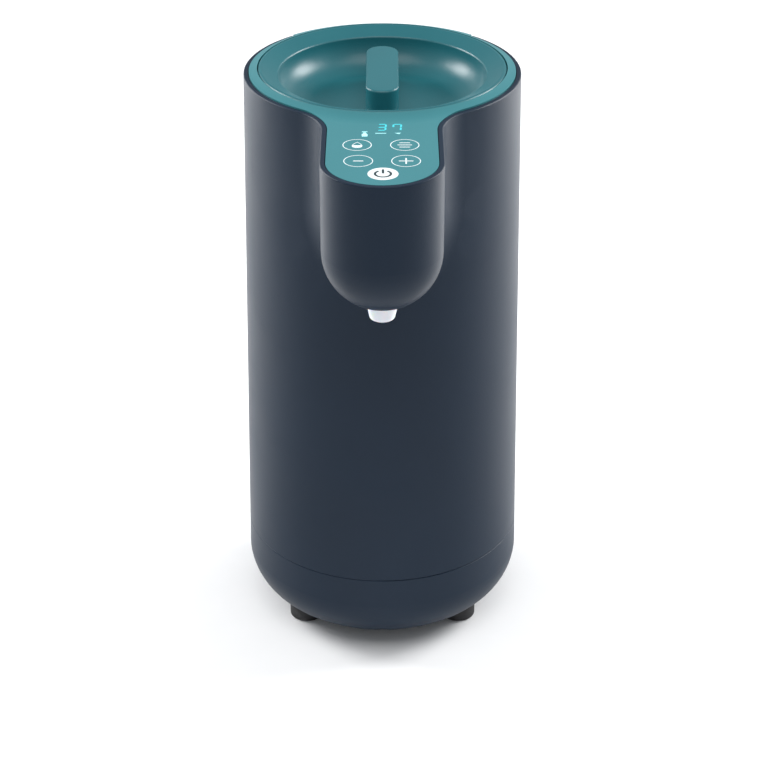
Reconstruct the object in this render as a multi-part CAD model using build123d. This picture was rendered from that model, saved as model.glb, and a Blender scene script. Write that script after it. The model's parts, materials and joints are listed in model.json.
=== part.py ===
from build123d import *
import os
from math import atan2, cos, degrees, pi, radians, sin, sqrt, tan

# Formula dispenser: a tapered cylinder with a water tank, a heater and a pump inside, a spout arm
# at the front with a touch panel on it, and a lift-off lid with an upright grip.
# Millimetres, +Z up, front is -Y. The origin is on the body's axis at the surface it stands on.

# ---- clearances ----
FIT = 0.3                  # between covers that meet at a visible gap
SLIDE_FIT = 0.1            # between a shaft or stem and its bore, on the radius
SEAT_FIT = 0.15            # between pieces that are pressed or dropped in and stay

# ---- outer form ----
RIM_HEIGHT = 265.0         # casing rim above the surface it stands on
RIM_RADIUS = 60.0          # outside of the casing at the rim
DRAFT_ANGLE = 0.92         # degrees that the casing widens downwards
SEAM_HEIGHT = 42.5         # joint between the casing and the base
FLOOR_HEIGHT = 4.0         # underside of the base
BASE_CORNER = 24.0         # rounding from the base's side to its underside
CASING_WALL = 2.0
BASE_WALL = 2.4
SEAM_ROUNDING = 0.35
RIM_ROUNDING = 0.6
SPIGOT_HEIGHT = 5.0        # lip of the base inside the casing
SPIGOT_WALL = 1.6

# ---- spout arm ----
ARM_RADIUS = 24.6
NOZZLE_REACH = 42.0        # nozzle axis in front of the rim
ARM_DEPTH = 62.0           # rim down to the lowest point of the arm
JUNCTION_RADIUS = 24.0     # hollow rounding where the arm grows out of the body

# ---- top panel ----
PANEL_PLATE = 2.5
PANEL_SKIRT = 1.6
PANEL_SKIRT_DEPTH = 7.0
RING_RISE = 2.0            # the ring climbs this much from the rim to the lid
RING_FLARE = 8.0           # over this width
SHELF_DROP = 7.0           # rim down to the shelf that carries the lid
SHELF_THICKNESS = 2.0
SHELF_WIDTH = 3.6
RING_WIDTH = 3.6           # ring's top, from the casing's wall to the lid's well
LUG_DROP = 5.0             # shelf down to the casing's lugs
LEG_RADIUS = 2.6           # leg of the panel that stands on a lug
LEG_INSET = 5.1            # leg's axis inside the rim
EAR_RADIUS = 2.3           # ear of the tank and the boss of the panel above it
EAR_INSET = 4.6            # ear's axis inside the rim
REAR_CUT_ANGLE = 42.5      # half angle of the notch in the rim at the back
REAR_CUT_DEPTH = 8.0
REAR_SLOT = 1.0

# ---- lid ----
LID_WALL = 2.2
LID_CREST = 2.8            # top of the lid above the rim, before it is rounded
LID_CREST_ROUNDING = 1.2
BOWL_EDGE_ROUNDING = 0.7
LID_RIM_WIDTH = 8.7        # lid's edge to the bowl's edge
BOWL_EDGE_DROP = 1.1
BOWL_DEPTH = 13.4          # from the bowl's edge to its floor, and the radius of its wall
GRIP_LENGTH = 56.0
GRIP_WIDTH = 14.0
GRIP_RISE = 1.0            # top of the grip above the rim
GRIP_WALL = 2.0
GRIP_ROUNDING = 1.0
GRIP_SCREW_SPACING = 32.0
GRIP_SCREW_LENGTH = 12.0
GRIP_POST_RADIUS = 3.2
UNDERPLATE_MARGIN = 4.0    # tank's wall to the plate's edge
UNDERPLATE_THICKNESS = 2.0
SEAL_THICKNESS = 1.2
SEAL_SEAT = 1.0

# ---- tank and heater ----
TANK_STEP = 4.5            # shelf's edge to the tank's inside
TANK_WALL = 0.8
TANK_CORNER = 6.0
MACHINE_HEIGHT = 81.0      # chassis's top to the tank's floor
FLANGE_WIDTH = 6.0
FLANGE_THICKNESS = 1.0
GASKET_THICKNESS = 2.0
GASKET_MARGIN = 0.5
SLEEVE_THICKNESS = 3.0
SLEEVE_MARGIN = 12.0
HEATER_MARGIN = 8.0        # tank's wall to the plate's edge
HEATER_THICKNESS = 6.0
HEATER_HOLE_RADIUS = 10.0
ELEMENT_INSET = 8.0        # plate's edge to the heating tube
ELEMENT_RADIUS = 3.25
ELEMENT_SWEEP = 336.0      # degrees of a circle
ELEMENT_TERMINAL = 12.0
TERMINAL_RADIUS = 1.4
STUD_INSET = 12.0          # heating tube to the studs
STUD_LENGTH = 7.0
STUD_NUT = 7.0             # across flats
STUD_NUT_HEIGHT = 3.2
STUD_RADIUS = 2.0
SENSOR_RADIUS = 3.0
SENSOR_LENGTH = 9.0
CUTOUT_RADIUS = 7.0
CUTOUT_HEIGHT = 6.0
OUTLET_STEM = 5.0          # radius
OUTLET_FLANGE = 8.5        # radius
OUTLET_SEAL = 1.5
OUTLET_NUT = 15.0          # across flats
OUTLET_NUT_HEIGHT = 5.0

# ---- hoses ----
INLET_BARB_RADIUS = 3.5
INLET_HOSE_WALL = 1.5
OUTLET_BARB_RADIUS = 2.25
OUTLET_HOSE_WALL = 1.25
BARB_BORE_SHARE = 0.6      # bore of a barb, as a share of its outside
BARB_LENGTH = 11.0
BARB_START = 4.0           # shoulder before a barb
CLIP_WALL = 0.8
HOSE_BEND = 11.0
HOSE_ARM_BEND = 16.0

# ---- pump and motor ----
CHASSIS_MARGIN = 5.0       # base screws' circle to the chassis's edge
CHASSIS_RISE = 4.5         # seam up to the chassis's top
CHASSIS_THICKNESS = 3.0
PUMP_RADIUS = 19.0
PUMP_HEIGHT = 11.0
PUMP_WALL = 2.5
PUMP_COVER = 3.0
PUMP_SPIGOT = 12.0
PUMP_SEAL = 1.0
PUMP_EAR_RADIUS = 4.0
PUMP_EAR_OFFSET = 2.5      # pump's wall to its ears' axes
IMPELLER_RADIUS = 14.4
SHAFT_RADIUS = 1.5
MOTOR_RADIUS = 14.0
MOTOR_LENGTH = 28.0
MOTOR_WALL = 1.0
ROTOR_RADIUS = 9.6
ROTOR_POLES = 5
BUSH_RADIUS = 4.0
MOTOR_SCREW_CIRCLE = 9.0
VANES = 6

# ---- nozzle ----
NOZZLE_TOP_RADIUS = 6.5
NOZZLE_TIP_RADIUS = 5.1
NOZZLE_DROP = 6.0          # tip below the arm
NOZZLE_BORE_RADIUS = 2.2
STEM_RADIUS = 4.5
STEM_LENGTH = 11.0
RING_SECTION = 0.8         # radius of the O-ring's section
RING_BACK = 4.0            # stem's top down to the O-ring
SOCKET_WALL = 2.5
HOLDER_RISE = 10.0         # arm's underside up to the holder's plate
HOLDER_PLATE = 2.5
PORT_RISE = 5.0            # holder's plate up to the port's axis
HOLDER_SCREW_OFFSET = 6.0  # stem's side to the screw's axis

# ---- electronics ----
BOARD_THICKNESS = 1.6
CONTROL_BOARD_WIDTH = 34.0
CONTROL_BOARD_BACK = 42.0  # nozzle axis back to the board's rear edge
CONTROL_BOARD_FRONT = 10.0
CONTROL_BOARD_NOSE = 9.0   # radius of its front end
CONTROL_BOARD_DROP = 8.4   # rim down to the board's top face
BOARD_SCREW_INSET = 3.5
BOARD_BOSS_RADIUS = 2.4
POWER_BOARD_WIDTH = 68.0
POWER_BOARD_HEIGHT = 52.0
POWER_BOARD_PLACE = 30.0    # behind the axis
KEY_RADIUS = 5.0
KEY_GAP = 9.5              # nozzle axis back to the gap between the rows of keys
KEY_PLACES = [(-9.5, 17.7), (9.5, 17.7), (-9.6, 1.4), (9.6, 1.4), (0.0, -11.3)]  # from the nozzle axis
DISPLAY_BACK = 34.5        # nozzle axis back to the digits
DISPLAY_WIDTH = 24.0
DISPLAY_LENGTH = 13.0
DISPLAY_HEIGHT = 3.5
GUIDE_MARGIN = 4.0
GUIDE_LENGTH = 10.0
BUZZER_RADIUS = 4.5
BUZZER_HEIGHT = 4.5
BUZZER_PLACE = (4.0, 2.0)  # from the nozzle axis
RIBBON_WIDTH = 8.0
RIBBON_THICKNESS = 1.0
RIBBON_X = -12.0
RIBBON_SOCKET_BACK = 24.0  # nozzle axis back to the upper socket
SOCKET_SIDE = 6.0          # half of a ribbon socket's square
LEAD_RADIUS = 1.0
HEATER_LEAD_RADIUS = 1.3

# ---- mains inlet ----
INLET_RISE = 25.5          # seam up to the inlet's middle
INLET_WIDTH = 26.0
INLET_TALL = 16.0
INLET_FLANGE = 5.0
INLET_DEPTH = 18.0
INLET_MOUTH_WIDTH = 16.5
INLET_MOUTH_HEIGHT = 9.0
PIN_SPACING = 8.6
PIN_RADIUS = 1.2

# ---- feet and screws ----
FOOT_RADIUS = 8.1
FOOT_X = 36.0
FOOT_Y = 27.0
FOOT_RECESS = 4.0
FOOT_SEAT_WALL = 2.0
FOOT_STEM_RADIUS = 2.8
BASE_SCREW_INSET = 6.0     # screws' axes inside the rim
BASE_SCREW_LENGTH = 16.0
BASE_BOSS_RADIUS = 4.5
CHASSIS_POSTS = [(14.0, 40.0), (-14.0, 40.0), (-14.0, -40.0), (14.0, -40.0)]
CHASSIS_POST_RADIUS = 4.0
SCREW_RADIUS = 1.3
SCREW_HEAD_RADIUS = 2.6
SCREW_HEAD_HEIGHT = 1.8

# ---- sizes that follow ----
ARM_REACH = RIM_RADIUS + NOZZLE_REACH
ARM_CENTRE = RIM_HEIGHT - ARM_DEPTH + ARM_RADIUS
ARM_BOTTOM = RIM_HEIGHT - ARM_DEPTH
PANEL_INSET = CASING_WALL + FIT
LID_WELL_RADIUS = RIM_RADIUS - PANEL_INSET - RING_WIDTH
LID_RADIUS = LID_WELL_RADIUS - FIT
BOWL_EDGE_RADIUS = LID_RADIUS - LID_RIM_WIDTH
SHELF_INNER_RADIUS = LID_WELL_RADIUS - SHELF_WIDTH
TANK_RADIUS = SHELF_INNER_RADIUS - TANK_STEP
FLANGE_RADIUS = TANK_RADIUS + FLANGE_WIDTH
UNDERPLATE_RADIUS = TANK_RADIUS - UNDERPLATE_MARGIN
HEATER_RADIUS = TANK_RADIUS - HEATER_MARGIN
ELEMENT_CIRCLE = HEATER_RADIUS - ELEMENT_INSET
STUD_CIRCLE = ELEMENT_CIRCLE - STUD_INSET
LEG_CIRCLE = RIM_RADIUS - LEG_INSET
EAR_CIRCLE = RIM_RADIUS - EAR_INSET
BASE_SCREW_CIRCLE = RIM_RADIUS - BASE_SCREW_INSET
CHASSIS_RADIUS = BASE_SCREW_CIRCLE - CHASSIS_MARGIN
CHASSIS_TOP = SEAM_HEIGHT + CHASSIS_RISE
INLET_HEIGHT = SEAM_HEIGHT + INLET_RISE
SHELF_TOP = RIM_HEIGHT - SHELF_DROP
SHELF_BOTTOM = SHELF_TOP - SHELF_THICKNESS
FLANGE_TOP = SHELF_BOTTOM - GASKET_THICKNESS
FLANGE_BOTTOM = FLANGE_TOP - FLANGE_THICKNESS
TANK_FLOOR = CHASSIS_TOP + MACHINE_HEIGHT
TANK_UNDERSIDE = TANK_FLOOR - TANK_WALL
HEATER_UNDERSIDE = TANK_UNDERSIDE - HEATER_THICKNESS
BOWL_EDGE = RIM_HEIGHT - BOWL_EDGE_DROP
BOWL_FLOOR = BOWL_EDGE - BOWL_DEPTH
BOWL_FLOOR_RADIUS = BOWL_EDGE_RADIUS - BOWL_DEPTH
BOWL_UNDERSIDE = BOWL_FLOOR - LID_WALL
PUMP_TOP = CHASSIS_TOP + PUMP_HEIGHT
COVER_TOP = PUMP_TOP + PUMP_COVER
CHASSIS_BOTTOM = CHASSIS_TOP - CHASSIS_THICKNESS
MOTOR_BOTTOM = CHASSIS_BOTTOM - MOTOR_LENGTH
BOARD_TOP = RIM_HEIGHT - CONTROL_BOARD_DROP
BOARD_BOTTOM = BOARD_TOP - BOARD_THICKNESS
INLET_HOSE_RADIUS = INLET_BARB_RADIUS + INLET_HOSE_WALL
OUTLET_HOSE_RADIUS = OUTLET_BARB_RADIUS + OUTLET_HOSE_WALL
LUG_TOP = SHELF_BOTTOM - LUG_DROP
FOOT_SEAT = FLOOR_HEIGHT + FOOT_RECESS + FOOT_SEAT_WALL
HOLDER_BASE = ARM_BOTTOM + HOLDER_RISE
HOLDER_PORT = HOLDER_BASE + HOLDER_PLATE + PORT_RISE
HOLDER_SCREW_X = STEM_RADIUS + HOLDER_SCREW_OFFSET
SOCKET_RADIUS = STEM_RADIUS + SOCKET_WALL
RING_HEIGHT = ARM_BOTTOM + CASING_WALL + STEM_LENGTH - RING_BACK
CONTROL_BOARD_START = ARM_REACH - CONTROL_BOARD_BACK
CONTROL_BOARD_END = ARM_REACH + CONTROL_BOARD_FRONT
DISPLAY_PLACE = DISPLAY_BACK - ARM_REACH
KEYS = [(x, y - ARM_REACH) for x, y in KEY_PLACES]
POWER_BOARD_BOTTOM = CHASSIS_TOP + 3.0


# ---- plain shapes ----
def cyl(x, y, z0, z1, radius):
    """Upright cylinder from z0 to z1."""
    return Pos(x, y, (z0 + z1) / 2) * Cylinder(radius, z1 - z0)


def tube(x, y, z0, z1, outer, inner):
    return cyl(x, y, z0, z1, outer) - cyl(x, y, z0 - 1, z1 + 1, inner)


def block(x0, x1, y0, y1, z0, z1):
    size = Box(x1 - x0, y1 - y0, z1 - z0)
    return Pos((x0 + x1) / 2, (y0 + y1) / 2, (z0 + z1) / 2) * size


def turned(points):
    """Solid of revolution about Z from a closed outline of (radius, height) corners."""
    return revolve(Plane.XZ * make_face(Polyline(*points, close=True)), Axis.Z)


def turned_curves(curves):
    """Solid of revolution about Z from lines and arcs that close an outline."""
    return revolve(Plane.XZ * make_face(curves), Axis.Z)


def circle_edges(solid, radius, height):
    found = []
    for edge in solid.edges():
        if edge.geom_type != GeomType.CIRCLE:
            continue
        if abs(edge.radius - radius) < 1e-3 and abs(edge.arc_center.Z - height) < 1e-3:
            found.append(edge)
    return found


def sector(radius, half_angle, centre_angle, z0, z1):
    """Wedge of a disc, for cutting or keeping part of a ring."""
    far = radius * 1.5
    left = radians(centre_angle + half_angle)
    right = radians(centre_angle - half_angle)
    middle = radians(centre_angle)
    corners = [(0, 0), (far * cos(right), far * sin(right)),
               (2 * far * cos(middle), 2 * far * sin(middle)), (far * cos(left), far * sin(left))]
    wedge = extrude(make_face(Polyline(*corners, close=True)), z1 - z0)
    return Pos(0, 0, z0) * wedge


def around(count, radius, start=0.0):
    """Places on a circle, as (x, y)."""
    places = []
    for i in range(count):
        angle = radians(start + 360.0 * i / count)
        places.append((radius * cos(angle), radius * sin(angle)))
    return places


def hexagon(x, y, z0, z1, flats):
    prism = extrude(RegularPolygon(flats / 2, 6, major_radius=False), z1 - z0)
    return Pos(x, y, z0) * prism


def screw(x, y, head_z, length, up=True):
    """Pan-head screw with a cross slot, its head at head_z and its shank going up or down."""
    side = 1 if up else -1
    tip = head_z + side * length
    shank = cyl(x, y, min(head_z, tip), max(head_z, tip), SCREW_RADIUS)
    head_end = head_z - side * SCREW_HEAD_HEIGHT
    head = cyl(x, y, min(head_z, head_end), max(head_z, head_end), SCREW_HEAD_RADIUS)
    slot_end = head_z - side * SCREW_HEAD_HEIGHT / 2
    low, high = min(slot_end, head_end), max(slot_end, head_end)
    slot = block(x - 1.8, x + 1.8, y - 0.35, y + 0.35, low, high)
    slot += block(x - 0.35, x + 0.35, y - 1.8, y + 1.8, low, high)
    return shank + head - slot


def group(solids):
    return Compound(children=list(solids))


def save(solid, name):
    export_step(solid, "parts/" + name + ".step")


# ---- the outer form ----
def body_radius(height):
    return RIM_RADIUS + (RIM_HEIGHT - height) * tan(radians(DRAFT_ANGLE))


def body_cone(inset, z0, z1):
    bottom, top = body_radius(z0) - inset, body_radius(z1) - inset
    return turned([(0, z0), (bottom, z0), (top, z1), (0, z1)])


def arm_form(inset, z1):
    """U-shaped arm with a half-round underside and a round front."""
    radius = ARM_RADIUS - inset
    middle = (ARM_CENTRE + z1) / 2
    form = Pos(0, -ARM_REACH / 2, middle) * Box(2 * radius, ARM_REACH, z1 - ARM_CENTRE)
    form += Pos(0, -ARM_REACH, middle) * Cylinder(radius, z1 - ARM_CENTRE)
    form += Pos(0, -ARM_REACH / 2, ARM_CENTRE) * Rot(90, 0, 0) * Cylinder(radius, ARM_REACH)
    return form + Pos(0, -ARM_REACH, ARM_CENTRE) * Sphere(radius)


def shell_form(inset, z0, z1):
    """Body and arm together with the hollow rounding between them, all moved inwards by inset."""
    form = body_cone(inset, z0, z1) + arm_form(inset, z1)
    edges = []
    for edge in form.edges():
        middle = edge @ 0.5
        on_cone = abs(sqrt(middle.X ** 2 + middle.Y ** 2) - body_radius(middle.Z) + inset) < 0.05
        on_arm = abs(middle.X) < ARM_RADIUS and middle.Y < 0 and middle.Z > ARM_BOTTOM
        at_rim = abs((edge @ 0).Z - z1) < 1e-6 and abs((edge @ 1).Z - z1) < 1e-6
        if on_cone and on_arm and not at_rim:
            edges.append(edge)
    return form.fillet(JUNCTION_RADIUS + inset, edges)


def panel_outline(inset):
    """Plan of the ring and the tongue."""
    radius = ARM_RADIUS - inset
    plan = Circle(RIM_RADIUS - inset) + Pos(0, -ARM_REACH / 2) * Rectangle(2 * radius, ARM_REACH)
    corners = [v for v in plan.vertices()
               if -RIM_RADIUS < v.Y < -RIM_RADIUS / 2 and abs(abs(v.X) - radius) < 0.01]
    plan = fillet(corners, JUNCTION_RADIUS + inset)
    return plan + Pos(0, -ARM_REACH) * Circle(radius)


def panel_prism(inset, z0, z1):
    return Pos(0, 0, z0) * extrude(panel_outline(inset), z1 - z0)


def outer_casing():
    """Sleeve and spout arm in one moulding, open at the top and at the bottom."""
    outside = shell_form(0, SEAM_HEIGHT, RIM_HEIGHT)
    rim = [e for e in outside.edges() if abs((e @ 0.5).Z - RIM_HEIGHT) < 1e-6]
    outside = outside.fillet(RIM_ROUNDING, rim)
    outside = outside.fillet(SEAM_ROUNDING, circle_edges(outside, body_radius(SEAM_HEIGHT), SEAM_HEIGHT))
    casing = outside - shell_form(CASING_WALL, SEAM_HEIGHT - 1, RIM_HEIGHT + 1)
    cut_from = RIM_HEIGHT - REAR_CUT_DEPTH - FIT
    half_slot = degrees(REAR_SLOT / 2 / RIM_RADIUS)
    notch = sector(RIM_RADIUS, REAR_CUT_ANGLE + half_slot, 90, cut_from, RIM_HEIGHT + 1)
    casing -= notch
    casing -= cyl(0, -ARM_REACH, ARM_BOTTOM - 1, ARM_BOTTOM + 4, NOZZLE_TOP_RADIUS + FIT)
    casing -= inlet_block(-FIT / 2, INLET_DEPTH)
    for x, y in around(4, BASE_SCREW_CIRCLE):
        casing += wall_boss(x, y, SEAM_HEIGHT + FIT, SEAM_HEIGHT + 15, BASE_BOSS_RADIUS)
        casing -= cyl(x, y, SEAM_HEIGHT, SEAM_HEIGHT + 12, SCREW_RADIUS)
    for x, y in panel_screw_places():
        casing += wall_boss(x, y, LUG_TOP - 3.0, LUG_TOP, 3.6)
        casing -= cyl(x, y, LUG_TOP - 4, LUG_TOP + 1, SCREW_RADIUS + FIT)
    for side in (-1, 1):
        casing += holder_boss(side)
        casing += inlet_boss(side)
        x = side * (INLET_WIDTH / 2 + INLET_FLANGE - 1)
        hole = Pos(x, inlet_flange_place(), INLET_HEIGHT) * Rot(90, 0, 0)
        casing -= hole * Cylinder(SCREW_RADIUS, 5.4)
    return casing


def panel_screw_places():
    return [(LEG_CIRCLE, 0.0), (0.0, LEG_CIRCLE), (-LEG_CIRCLE, 0.0)]


def outward(x, y, length, half_width, z0, z1):
    """Bar from (x, y) straight away from the axis, and as far back towards it as it is wide."""
    start = sqrt(x * x + y * y)
    bar = block(start - half_width, start + length, -half_width, half_width, z0, z1)
    return Rot(0, 0, degrees(atan2(y, x))) * bar


def wall_boss(x, y, z0, z1, radius):
    """Boss inside the casing, joined to the wall by a rib, kept within the casing's outside."""
    rib = outward(x, y, 2 * radius, radius, z0, z1) - outward(x, y, 0, radius, z0 - 1, z1 + 1)
    boss = cyl(x, y, z0, z1, radius) + rib
    return boss & body_cone(CASING_WALL / 2, z0 - 1, z1 + 1)


def holder_boss(side):
    """Boss on the floor of the arm that takes a screw of the nozzle holder."""
    x = side * HOLDER_SCREW_X
    boss = cyl(x, -ARM_REACH, ARM_BOTTOM, HOLDER_BASE, 2.8)
    boss = boss & arm_form(CASING_WALL / 2, RIM_HEIGHT)
    return boss - cyl(x, -ARM_REACH, HOLDER_BASE - 5, HOLDER_BASE + 1, SCREW_RADIUS)


# ---- base ----
def base_outline(inset, z1):
    """Half section of the base from the axis: flat underside, round corner, tapered side."""
    corner_z = FLOOR_HEIGHT + BASE_CORNER
    outer = body_radius(corner_z) - inset
    radius = BASE_CORNER - inset
    low = FLOOR_HEIGHT + inset
    centre = outer - radius
    bend = (centre + radius * sin(pi / 4), corner_z - radius * cos(pi / 4))
    return [Line((0, z1), (0, low)), Line((0, low), (centre, low)),
            ThreePointArc((centre, low), bend, (outer, corner_z)),
            Line((outer, corner_z), (body_radius(z1) - inset, z1)),
            Line((body_radius(z1) - inset, z1), (0, z1))]


def base_shell():
    outside = turned_curves(base_outline(0, SEAM_HEIGHT))
    outside = outside.fillet(SEAM_ROUNDING, circle_edges(outside, body_radius(SEAM_HEIGHT), SEAM_HEIGHT))
    base = outside - turned_curves(base_outline(BASE_WALL, SEAM_HEIGHT + 1))
    spigot_inset = CASING_WALL + SEAT_FIT
    top = SEAM_HEIGHT + SPIGOT_HEIGHT
    spigot = body_cone(spigot_inset, SEAM_HEIGHT - 3, top)
    spigot -= body_cone(spigot_inset + SPIGOT_WALL, SEAM_HEIGHT - 4, top + 1)
    base += spigot
    inside = turned_curves(base_outline(BASE_WALL / 2, SEAM_HEIGHT))
    for x, y in around(4, BASE_SCREW_CIRCLE):
        base -= outward(x, y, RIM_RADIUS, BASE_BOSS_RADIUS + FIT, SEAM_HEIGHT, top + 1)
        base += cyl(x, y, FLOOR_HEIGHT, SEAM_HEIGHT, 6.0) & inside
        base -= cyl(x, y, FLOOR_HEIGHT - 1, SEAM_HEIGHT - 6, 3.6)
        base -= cyl(x, y, FLOOR_HEIGHT, SEAM_HEIGHT + 1, SCREW_RADIUS + FIT)
    for x, y in CHASSIS_POSTS:
        post = cyl(x, y, FLOOR_HEIGHT + 1, CHASSIS_BOTTOM, CHASSIS_POST_RADIUS)
        base += post - cyl(x, y, 0, SEAM_HEIGHT - 1, CHASSIS_POST_RADIUS) + (post & inside)
        base -= cyl(x, y, CHASSIS_BOTTOM - 12, CHASSIS_BOTTOM + 1, SCREW_RADIUS)
    for x, y in foot_places():
        seat = cyl(x, y, FLOOR_HEIGHT, FOOT_SEAT, FOOT_RADIUS + SEAT_FIT + FOOT_SEAT_WALL)
        base += seat & outside
        base -= cyl(x, y, FLOOR_HEIGHT - 1, FLOOR_HEIGHT + FOOT_RECESS, FOOT_RADIUS + SEAT_FIT)
        base -= cyl(x, y, FLOOR_HEIGHT, FOOT_SEAT + 1, FOOT_STEM_RADIUS)
    return base


def foot_places():
    return [(FOOT_X, -FOOT_Y), (FOOT_X, FOOT_Y), (-FOOT_X, FOOT_Y), (-FOOT_X, -FOOT_Y)]


def foot(x, y):
    """Rubber button with a stem that snaps through the base."""
    inside = FOOT_SEAT
    pad = cyl(x, y, 0, FLOOR_HEIGHT + FOOT_RECESS, FOOT_RADIUS)
    pad = pad.fillet(1.0, circle_edges(pad, FOOT_RADIUS, 0))
    stem = cyl(x, y, FLOOR_HEIGHT, inside + 3, FOOT_STEM_RADIUS)
    bulb = Pos(x, y, inside + 1.5) * Cone(FOOT_STEM_RADIUS + 1, FOOT_STEM_RADIUS - 0.6, 3)
    return pad + stem + bulb


def base_screws():
    heads = SEAM_HEIGHT - 6
    return group([screw(x, y, heads, BASE_SCREW_LENGTH) for x, y in around(4, BASE_SCREW_CIRCLE)])


# ---- top panel ----
def top_surface_tool():
    """Everything under the panel's top: flat at the tongue, and a ring that climbs in a hollow
    curve, level where it leaves the flat, up to the lid."""
    flare_radius = (RING_FLARE ** 2 + RING_RISE ** 2) / (2 * RING_RISE)
    inner = LID_WELL_RADIUS
    end = inner + RING_FLARE
    half = RING_FLARE / 2
    middle = (end - half, RIM_HEIGHT + flare_radius - sqrt(flare_radius ** 2 - half ** 2))
    far = ARM_REACH + 2 * ARM_RADIUS
    low = SHELF_BOTTOM - 20
    crest = RIM_HEIGHT + RING_RISE
    return turned_curves([Line((0, low), (0, crest)), Line((0, crest), (inner, crest)),
                          ThreePointArc((inner, crest), middle, (end, RIM_HEIGHT)),
                          Line((end, RIM_HEIGHT), (far, RIM_HEIGHT)),
                          Line((far, RIM_HEIGHT), (far, low)), Line((far, low), (0, low))])


def top_panel():
    """Ring round the lid, tongue over the spout arm and the filler in the rim's rear notch."""
    crest = RIM_HEIGHT + RING_RISE + 1
    plate = panel_prism(PANEL_INSET, RIM_HEIGHT - PANEL_PLATE, crest) & top_surface_tool()
    skirt = panel_prism(PANEL_INSET, RIM_HEIGHT - PANEL_SKIRT_DEPTH, RIM_HEIGHT - 1)
    skirt -= panel_prism(PANEL_INSET + PANEL_SKIRT, RIM_HEIGHT - PANEL_SKIRT_DEPTH - 1, RIM_HEIGHT)
    well = cyl(0, 0, SHELF_BOTTOM, RIM_HEIGHT, RIM_RADIUS - PANEL_INSET)
    lip_z = RIM_HEIGHT - REAR_CUT_DEPTH
    lip = body_cone(0, lip_z, crest) - cyl(0, 0, lip_z - 1, crest + 1, LID_WELL_RADIUS + 1)
    half_slot = degrees(REAR_SLOT / 2 / RIM_RADIUS)
    lip = lip & sector(RIM_RADIUS, REAR_CUT_ANGLE - half_slot, 90, lip_z, crest)
    panel = plate + skirt + well + (lip & top_surface_tool())
    for x, y in panel_screw_places():
        panel += cyl(x, y, LUG_TOP, SHELF_BOTTOM + 1, LEG_RADIUS)
    for x, y in around(4, EAR_CIRCLE, 45):
        panel += cyl(x, y, FLANGE_TOP, SHELF_BOTTOM + 1, EAR_RADIUS - SEAT_FIT)
    for x, y in board_screw_places():
        panel += cyl(x, y, BOARD_TOP, RIM_HEIGHT - 1, BOARD_BOSS_RADIUS)
    panel -= cyl(0, 0, SHELF_TOP, crest + 1, LID_WELL_RADIUS)
    panel -= cyl(0, 0, SHELF_BOTTOM - 1, crest, SHELF_INNER_RADIUS)
    for x, y in panel_screw_places():
        panel -= cyl(x, y, LUG_TOP - 1, SHELF_TOP - 2, SCREW_RADIUS)
    for x, y in around(4, EAR_CIRCLE, 45):
        panel -= cyl(x, y, FLANGE_TOP - 1, SHELF_TOP + 3, SCREW_RADIUS)
    for x, y in board_screw_places():
        panel -= cyl(x, y, BOARD_TOP - 1, RIM_HEIGHT - 1.5, SCREW_RADIUS)
    return panel


def panel_screws():
    """Screws up through the casing's lugs and through the tank's ears into the panel."""
    lugs = [screw(x, y, LUG_TOP - 3.0, 7) for x, y in panel_screw_places()]
    ears = [screw(x, y, FLANGE_BOTTOM, 7) for x, y in around(4, EAR_CIRCLE, 45)]
    return group(lugs + ears)


# ---- lid ----
def lid_dish():
    """Rim that falls towards a round bowl, with a hollow underside and a skirt on the shelf."""
    crest = RIM_HEIGHT + LID_CREST
    slope = (crest - BOWL_EDGE) / (LID_RADIUS - BOWL_EDGE_RADIUS)
    under = LID_WALL
    skirt_in = LID_RADIUS - LID_WALL
    outer_wall = BOWL_EDGE_RADIUS + under
    root = (BOWL_FLOOR_RADIUS + BOWL_DEPTH * sin(pi / 4), BOWL_EDGE - BOWL_DEPTH * cos(pi / 4))
    deep = BOWL_DEPTH + under
    under_root = (BOWL_FLOOR_RADIUS + deep * sin(pi / 4), BOWL_EDGE - deep * cos(pi / 4))
    channel = crest - under - slope * LID_WALL
    channel_end = channel - slope * (skirt_in - outer_wall)
    section = [
        Line((0, BOWL_FLOOR), (BOWL_FLOOR_RADIUS, BOWL_FLOOR)),
        ThreePointArc((BOWL_FLOOR_RADIUS, BOWL_FLOOR), root, (BOWL_EDGE_RADIUS, BOWL_EDGE)),
        Line((BOWL_EDGE_RADIUS, BOWL_EDGE), (LID_RADIUS, crest)),
        Line((LID_RADIUS, crest), (LID_RADIUS, SHELF_TOP)),
        Line((LID_RADIUS, SHELF_TOP), (skirt_in, SHELF_TOP)),
        Line((skirt_in, SHELF_TOP), (skirt_in, channel)),
        Line((skirt_in, channel), (outer_wall, channel_end)),
        Line((outer_wall, channel_end), (outer_wall, BOWL_EDGE)),
        ThreePointArc((outer_wall, BOWL_EDGE), under_root, (BOWL_FLOOR_RADIUS, BOWL_UNDERSIDE)),
        Line((BOWL_FLOOR_RADIUS, BOWL_UNDERSIDE), (0, BOWL_UNDERSIDE)),
        Line((0, BOWL_UNDERSIDE), (0, BOWL_FLOOR))]
    dish = turned_curves(section)
    dish = dish.fillet(LID_CREST_ROUNDING, circle_edges(dish, LID_RADIUS, crest))
    dish = dish.fillet(BOWL_EDGE_ROUNDING, circle_edges(dish, BOWL_EDGE_RADIUS, BOWL_EDGE))
    for y in grip_screw_ys():
        dish -= cyl(0, y, BOWL_UNDERSIDE - 1, BOWL_FLOOR + 1, SCREW_RADIUS + FIT)
    return dish


def grip_screw_ys():
    return (-GRIP_SCREW_SPACING / 2, GRIP_SCREW_SPACING / 2)


def stadium(length, width, z0, z1):
    return Pos(0, 0, z0) * extrude(Rot(0, 0, 90) * SlotOverall(length, width), z1 - z0)


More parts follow.
